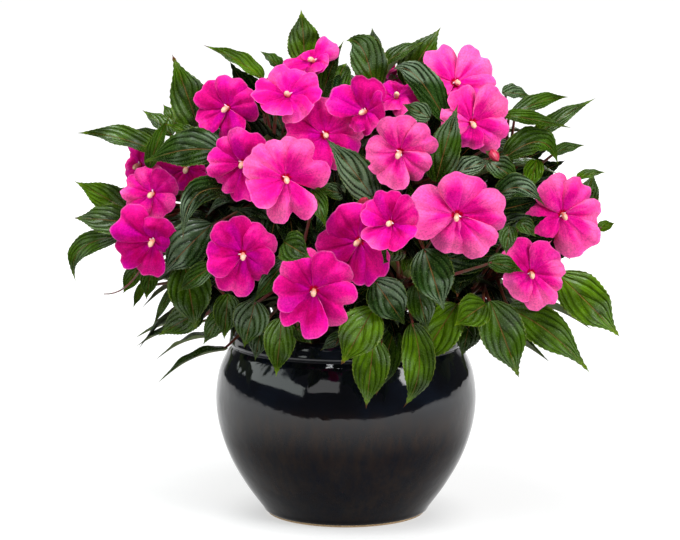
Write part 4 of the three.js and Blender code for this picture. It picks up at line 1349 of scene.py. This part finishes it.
# Spots in the picture where a leaf, darkened by painted shade, hangs behind the others
BACKING_SPOTS = [
    (503, 150, -30),
    (520, 160, -24),
    (536, 172, -24),
    (524, 188, -50),
    (512, 206, -60),
    (517, 226, -66),
    (524, 244, -70),
    (336, 190, -96),
    (348, 206, -96),
    (250, 130, -60),
    (128, 200, -20),
    (356, 170, -80),
    (440, 96, -40),
    (216, 236, -84),
    (280, 122, -50),
    (256, 220, -80),
    (466, 264, -84),
    (476, 256, -84),
    (247, 88, -36),
    (466, 150, -40),
    (438, 128, -60),
    (553, 246, -50),
]
BACKING_WIDTH = 26


def backing_leaves(chance):
    """Leaves that hang in the gaps of the front, each by its nearest knot, darkened by painted shade."""
    made = {node: [] for node in stems}
    for spot in BACKING_SPOTS:
        middle = seen_point(spot)
        away = (middle - MOUND_CENTRE) * np.array([1.0, 0.0, 1.0])
        outward = unit(away + UP * chance.uniform(-30, 10))
        base = middle - outward * 27
        tip = middle + outward * 25
        facing = np.array([chance.uniform(-0.3, 0.3), -1.0, 0.3])
        # Painted shade: a tone below zero makes these leaves dark
        tone = chance.uniform(-0.8, -0.3)
        node, knot = nearest_knot(base)
        made[node].append((knot, blade(base, middle - UP * 2, tip, facing, BACKING_WIDTH, tone)))
    return made


# Rules of the leaves that cover the mound: their number, sides and lifts in degrees, depth as a
# share of the mound, length in mm, sway, rise, sag, tilt of the face outwards, width as a share
# of the length, tone, longest way from a knot and the share of the mound that they stay under.
# The first close the sides, back and top. The others lie deep under the front and are darkened by painted
# shade.
OUTER_COVER = {
    "count": 130, "first": 0.71, "side": 68, "round": 224, "scatter": 8, "low": -24, "rises": 112,
    "depth": (0.6, 0.72), "length": (44, 66), "sway": 35, "level": 0.5, "rise": (-5, 20),
    "sag": (0.25, 0.5), "outwards": 0.8, "width": 0.42, "tone": (0.0, 0.8), "reach": 95, "skin": 0.98,
}
FRONT_COVER = {
    "count": 90, "first": 0.3, "side": -74, "round": 148, "scatter": 0, "low": -20, "rises": 98,
    "depth": (0.5, 0.62), "length": (34, 50), "sway": 60, "level": 0.4, "rise": (0, 25),
    "sag": (0.3, 0.6), "outwards": 1, "width": 0.45, "tone": (-0.35, 0.35), "reach": math.inf, "skin": 0.86,
}


def cover_leaves(rule, chance):
    """Leaves that grow out of the depth of the mound by a rule, each by its nearest knot."""
    made = {node: [] for node in stems}
    for index in range(rule["count"]):
        turn = (index * GOLDEN_TURN + rule["first"]) % 1
        side = rule["side"] + rule["round"] * turn
        if rule["scatter"]:
            side += chance.uniform(-rule["scatter"], rule["scatter"])
        lift = rule["low"] + rule["rises"] * (index + 0.5) / rule["count"]
        outward = direction_of(side, lift)
        base = mound_point(outward, chance.uniform(*rule["depth"]))
        length = chance.uniform(*rule["length"])
        sway = chance.uniform(-rule["sway"], rule["sway"])
        along = direction_of(side + sway, rule["level"] * lift + chance.uniform(*rule["rise"]))
        tip = base + along * length - UP * chance.uniform(*rule["sag"]) * length
        bend = base + along * 0.55 * length + UP * 0.06 * length
        facing = unit(outward * rule["outwards"] + UP)
        leaf = blade(base, bend, tip, facing, rule["width"] * length, chance.uniform(*rule["tone"]))
        node, knot = nearest_knot(base)
        if np.linalg.norm(base - knot) < rule["reach"] and mound_share(tip) < rule["skin"]:
            made[node].append((knot, leaf))
    return made


def crown_leaves(node, chance):
    """The young rosette at the end of a stem."""
    start = stems[node][2] - UP * 1.5
    made = []
    for k in range(6):
        direction = direction_of(60 * k + chance.uniform(-15, 15), chance.uniform(18, 60))
        length = chance.uniform(16, 30)
        leaf = small_leaf(start, direction, length, 0.4, chance.uniform(0.5, 0.95), 0.15, 0.4)
        made.append((start, leaf))
    return made


def stem_sheet(node):
    """The stem's round rod, a little thicker at each knot."""
    points = stems[node]
    line = quadratic(points, np.linspace(0, 1, 44))
    radii = np.linspace(STEM_LOW_RADIUS, STEM_HIGH_RADIUS, 44) * 0.96
    for knot in knots[node]:
        away = np.linalg.norm(line - knot, axis=1)
        radii = radii * (1 + 0.16 * np.exp(-(away / 3.0) ** 2))
    tip = line[-1] + quadratic_along(points, 1.0) * 1.5
    line = np.concatenate([line, [tip]])
    radii = np.concatenate([radii, [0.0]])
    return tube(line, radii, 12, STEM_FACE, 0.4, pinched=(False, True))


# Rows and columns of the blades' grids: of the solids' leaves, and of those that fill the mound
OWN_GRID = (34, 17)
COVER_GRID = (24, 11)
INNER_GRID = (13, 7)
CROWN_GRID = (14, 7)


def grown(places, chance, grid, stalk_radius):
    """The blades and stalks of leaves, each given with the place that it grows from."""
    sheets = []
    for start, leaf in places:
        sheets += leaf_sheets(leaf, chance, *grid)
        sheets.append(leaf_stalk(start, leaf, stalk_radius, STALK_FACE))
    return sheets


outer_cover = cover_leaves(OUTER_COVER, np.random.RandomState(12))
backing = backing_leaves(np.random.RandomState(21))
front_cover = cover_leaves(FRONT_COVER, np.random.RandomState(33))
for number, node in enumerate(stems):
    chance = np.random.RandomState(40 + number)
    own = [(leaf["knot"], leaf) for leaf in leaves if leaf["node"] == node]
    sheets = [stem_sheet(node)]
    sheets += grown(own, chance, OWN_GRID, 1.3)
    sheets += grown(outer_cover[node] + backing[node], chance, COVER_GRID, 1.2)
    sheets += grown(inner_leaves(node, chance) + front_cover[node], chance, INNER_GRID, 0.9)
    sheets += grown(crown_leaves(node, chance), chance, CROWN_GRID, 0.7)
    make_piece(f"{node}_leaves", sheets, LEAF_SKINS, [node])


# Pot and soil

GLAZED = 0
UNGLAZED = 1
POT_SIDES = 160
NO_PATTERN = np.zeros(3)


def turned(profile, sides, skin):
    """A surface turned round the vertical axis from a profile of radii and heights."""
    profile = np.asarray(profile, float)
    turn = np.linspace(0, 2 * math.pi, sides + 1)
    radius = profile[:, 0:1]
    points = stacked(radius * np.cos(turn), radius * np.sin(turn), profile[:, 1:2])
    pinched = (profile[0, 0] == 0, profile[-1, 0] == 0)
    return Sheet(points, NO_PATTERN, skin, pinched=pinched)


def curved(profile, per_span):
    """More points along a profile, on a smooth curve through those given."""
    given = np.asarray(profile, float)
    ends = np.vstack([2 * given[0] - given[1], given, 2 * given[-1] - given[-2]])
    made = []
    for i in range(len(given) - 1):
        a, b, c, d = ends[i:i + 4]
        for t in np.arange(per_span) / per_span:
            bent = (2 * a - 5 * b + 4 * c - d) * t ** 2 + (3 * b - a - 3 * c + d) * t ** 3
            made.append(b + ((c - a) * t + bent) / 2)
    made.append(given[-1])
    return np.array(made)


body_profile = curved(POT_PROFILE, 8)
rim_profile = curved(RIM_PROFILE + INNER_PROFILE[:2], 4)
foot_edge = (POT_FOOT_RADIUS + 3.4, 2.2)
foot_profile = [(0, 0), (POT_FOOT_RADIUS, 0), (POT_FOOT_RADIUS + 2.2, 0.6), foot_edge]
pot_sheets = [
    turned(foot_profile, POT_SIDES, UNGLAZED),
    turned([foot_edge, (POT_FOOT_RADIUS + 5.2, 3.4), *body_profile], POT_SIDES, GLAZED),
    turned([tuple(body_profile[-1]), *rim_profile], POT_SIDES, GLAZED),
    turned(INNER_PROFILE[1:], 120, GLAZED),
]
make_piece("pot_glazed", pot_sheets, [glaze_material(), clay_material()], ["pot"])


def soil_sheets(chance):
    """The crumbly top of the soil, its plain sides below, and loose crumbs on it."""
    rings, sides = 40, 150
    radius = np.linspace(0, SOIL_RADIUS, rings)[:, None]
    turn = np.linspace(0, 2 * math.pi, sides + 1)[None, :]
    x = radius * np.cos(turn)
    y = radius * np.sin(turn)
    bumps = np.zeros(x.shape)
    for k in range(26):
        wave = chance.uniform(-0.9, 0.9, 2) * (0.3 + k / 26)
        bumps += np.sin(wave[0] * x + wave[1] * y + chance.uniform(0, 6.28)) * 0.55 / (1 + 0.08 * k)
    away = radius / SOIL_RADIUS
    top = SOIL_TOP + 2.6 * (1 - away ** 2) + bumps * 0.8 * (1 - away ** 8)
    points = stacked(x, y, top)
    cover = Sheet(points, NO_PATTERN, 0, flip=True, pinched=(True, False))
    wall = turned([*SOIL_PROFILE, (SOIL_RADIUS, SOIL_TOP)], 90, 0)
    crumbs = []
    for k in range(SOIL_CRUMBS):
        away = SOIL_RADIUS * 0.96 * math.sqrt(chance.uniform(0, 1))
        spin = chance.uniform(0, 6.28)
        middle = np.array([away * math.cos(spin), away * math.sin(spin), SOIL_TOP + 2.2])
        size = chance.uniform(1.2, 3.2)
        axis = unit(chance.uniform(-1, 1, 3))
        rise = np.linspace(-1, 1, 5)
        girth = np.sqrt(1 - rise ** 2) * chance.uniform(0.6, 1.1, 5)
        girth[[0, -1]] = 0
        line = middle + axis * rise[:, None] * size
        crumbs.append(tube(line, girth * size, 6, 0, 0.5, pinched=(True, True)))
    return [cover, wall, *crumbs]


make_piece("soil_crumbly", soil_sheets(np.random.RandomState(7)), [soil_material()], ["soil"])


# Floor, lights and camera

FLOOR_FRONT = -0.62
FLOOR_REACH = 9.0
FLOOR_DROP = 0.0002
FLOOR_POINTS = 61
FLOOR_GREYS = [(0.3, 0.3, 0.3), (0.32, 0.32, 0.32)]
WHITE = (1.0, 1.0, 1.0)


def floor_material():
    """White and glowing, a little darker close round the pot as a painted shadow, and dimmer as a light on
    other things.
    """
    material, tree, shader = new_material("floor_white")
    place = place_of(tree)
    away = output(add_node("ShaderNodeVectorMath", {0: place}, operation="LENGTH"), "Value")
    bounced = output(add_node("ShaderNodeLightPath", {}, tree), "Is Diffuse Ray")
    # Painted shadow: the glow is dimmer close round the pot
    glow_and_painted_shadow = ranged(away, 0.4, 1.6, 0.72, 1.0) * ranged(away, 0.055, 0.115, 0.74, 1.0)
    connect(shader, {
        "Base Color": mixed(noise(place, 3.0, 2.0), *FLOOR_GREYS),
        "Roughness": 0.9,
        "Specular IOR Level": 0.1,
        "Emission Color": WHITE,
        "Emission Strength": glow_and_painted_shadow * ranged(bounced, 0.0, 1.0, 1.0, 0.45),
    })
    return material


def floor_part(name, front, back, material):
    """A flat part of the floor, from a front line to a back line with many points along both."""
    across = np.linspace(-FLOOR_REACH, FLOOR_REACH, FLOOR_POINTS)
    corners_of_part = [(x, front, -FLOOR_DROP) for x in across]
    corners_of_part += [(x, back, -FLOOR_DROP) for x in across[::-1]]
    mesh = bpy.data.meshes.new(name)
    mesh.from_pydata(corners_of_part, [], [list(range(len(corners_of_part)))])
    mesh.materials.append(material)
    part = added(name, mesh)
    return part


floor_white = floor_material()
floor_part("floor_table", FLOOR_FRONT, FLOOR_REACH, floor_white)
floor_front = floor_part("floor_front", -FLOOR_REACH, FLOOR_FRONT, floor_white)
floor_front.visible_glossy = False


def add_light(name, place, aim, width, height, radiance, colour=WHITE):
    """A soft panel light. Its power follows from how bright its face is."""
    data = bpy.data.lights.new(name, "AREA")
    data.shape = "RECTANGLE"
    data.size = width
    data.size_y = height
    data.energy = radiance * width * height * math.pi
    data.color = colour
    light = added(name, data)
    from_aim = Vector(place) - Vector(aim)
    light.location = place
    light.rotation_euler = from_aim.to_track_quat("Z", "Y").to_euler()
    light.visible_camera = False
    return light


add_light("window_left", (-1.5, -0.45, 0.84), (0, -0.45, 0.84), 2.9, 0.62, 2.2, (0.92, 1.0, 0.96))
add_light("overhead", (-0.3, -0.7, 2.1), (0, 0, 0.2), 1.3, 1.1, 10.0, (0.95, 0.98, 1.0))
add_light("room_front", (-0.85, -2.3, 1.25), (0, 0, 0.25), 1.3, 0.9, 1.3)
front_key = add_light("front_key", (1.9, -2.1, 1.6), (0, 0, 0.25), 1.1, 1.1, 17.0)
front_key.visible_glossy = False
add_light("back_fill", (0.4, 2.4, 1.3), (0, 0, 0.25), 1.4, 1.2, 5.0)
add_light("window_right", (1.45, -0.87, 1.2), (0, 0, 0.12), 0.3, 0.8, 9.0)


def make_world():
    """White where the camera looks, and for the light a bright wall behind and a dim room in front."""
    world = bpy.data.worlds.new("studio")
    bpy.context.scene.world = world
    world.use_nodes = True
    tree = world.node_tree
    tree.nodes.clear()
    direction = parts_of(output(add_node("ShaderNodeTexCoord", {}, tree), "Generated"))
    behind = ranged(direction[1], 0.78, 0.92, 0.0, 0.95)
    above = ranged(direction[2], 0.45, 0.95, 0.05, 0.3)
    room = add_node("ShaderNodeBackground", {"Color": WHITE, "Strength": behind + above}, tree)
    white = add_node("ShaderNodeBackground", {"Color": WHITE, "Strength": 1.0}, tree)
    seen_share = output(add_node("ShaderNodeLightPath", {}, tree), "Is Camera Ray")
    mix = add_node("ShaderNodeMixShader", {0: seen_share, 1: output(room), 2: output(white)})
    add_node("ShaderNodeOutputWorld", {"Surface": output(mix)})


make_world()

SENSOR = 36
camera_data = bpy.data.cameras.new("camera")
camera_data.sensor_width = SENSOR
camera_data.lens = FOCAL / IMAGE_WIDTH * SENSOR
camera_data.clip_end = 100
camera = added("camera", camera_data)
camera.location = EYE / 1000
camera.rotation_euler = (math.radians(90 - PITCH), 0, 0)
bpy.context.scene.camera = camera

bpy.context.scene.view_settings.view_transform = "Standard"
bpy.context.scene.view_settings.look = "None"
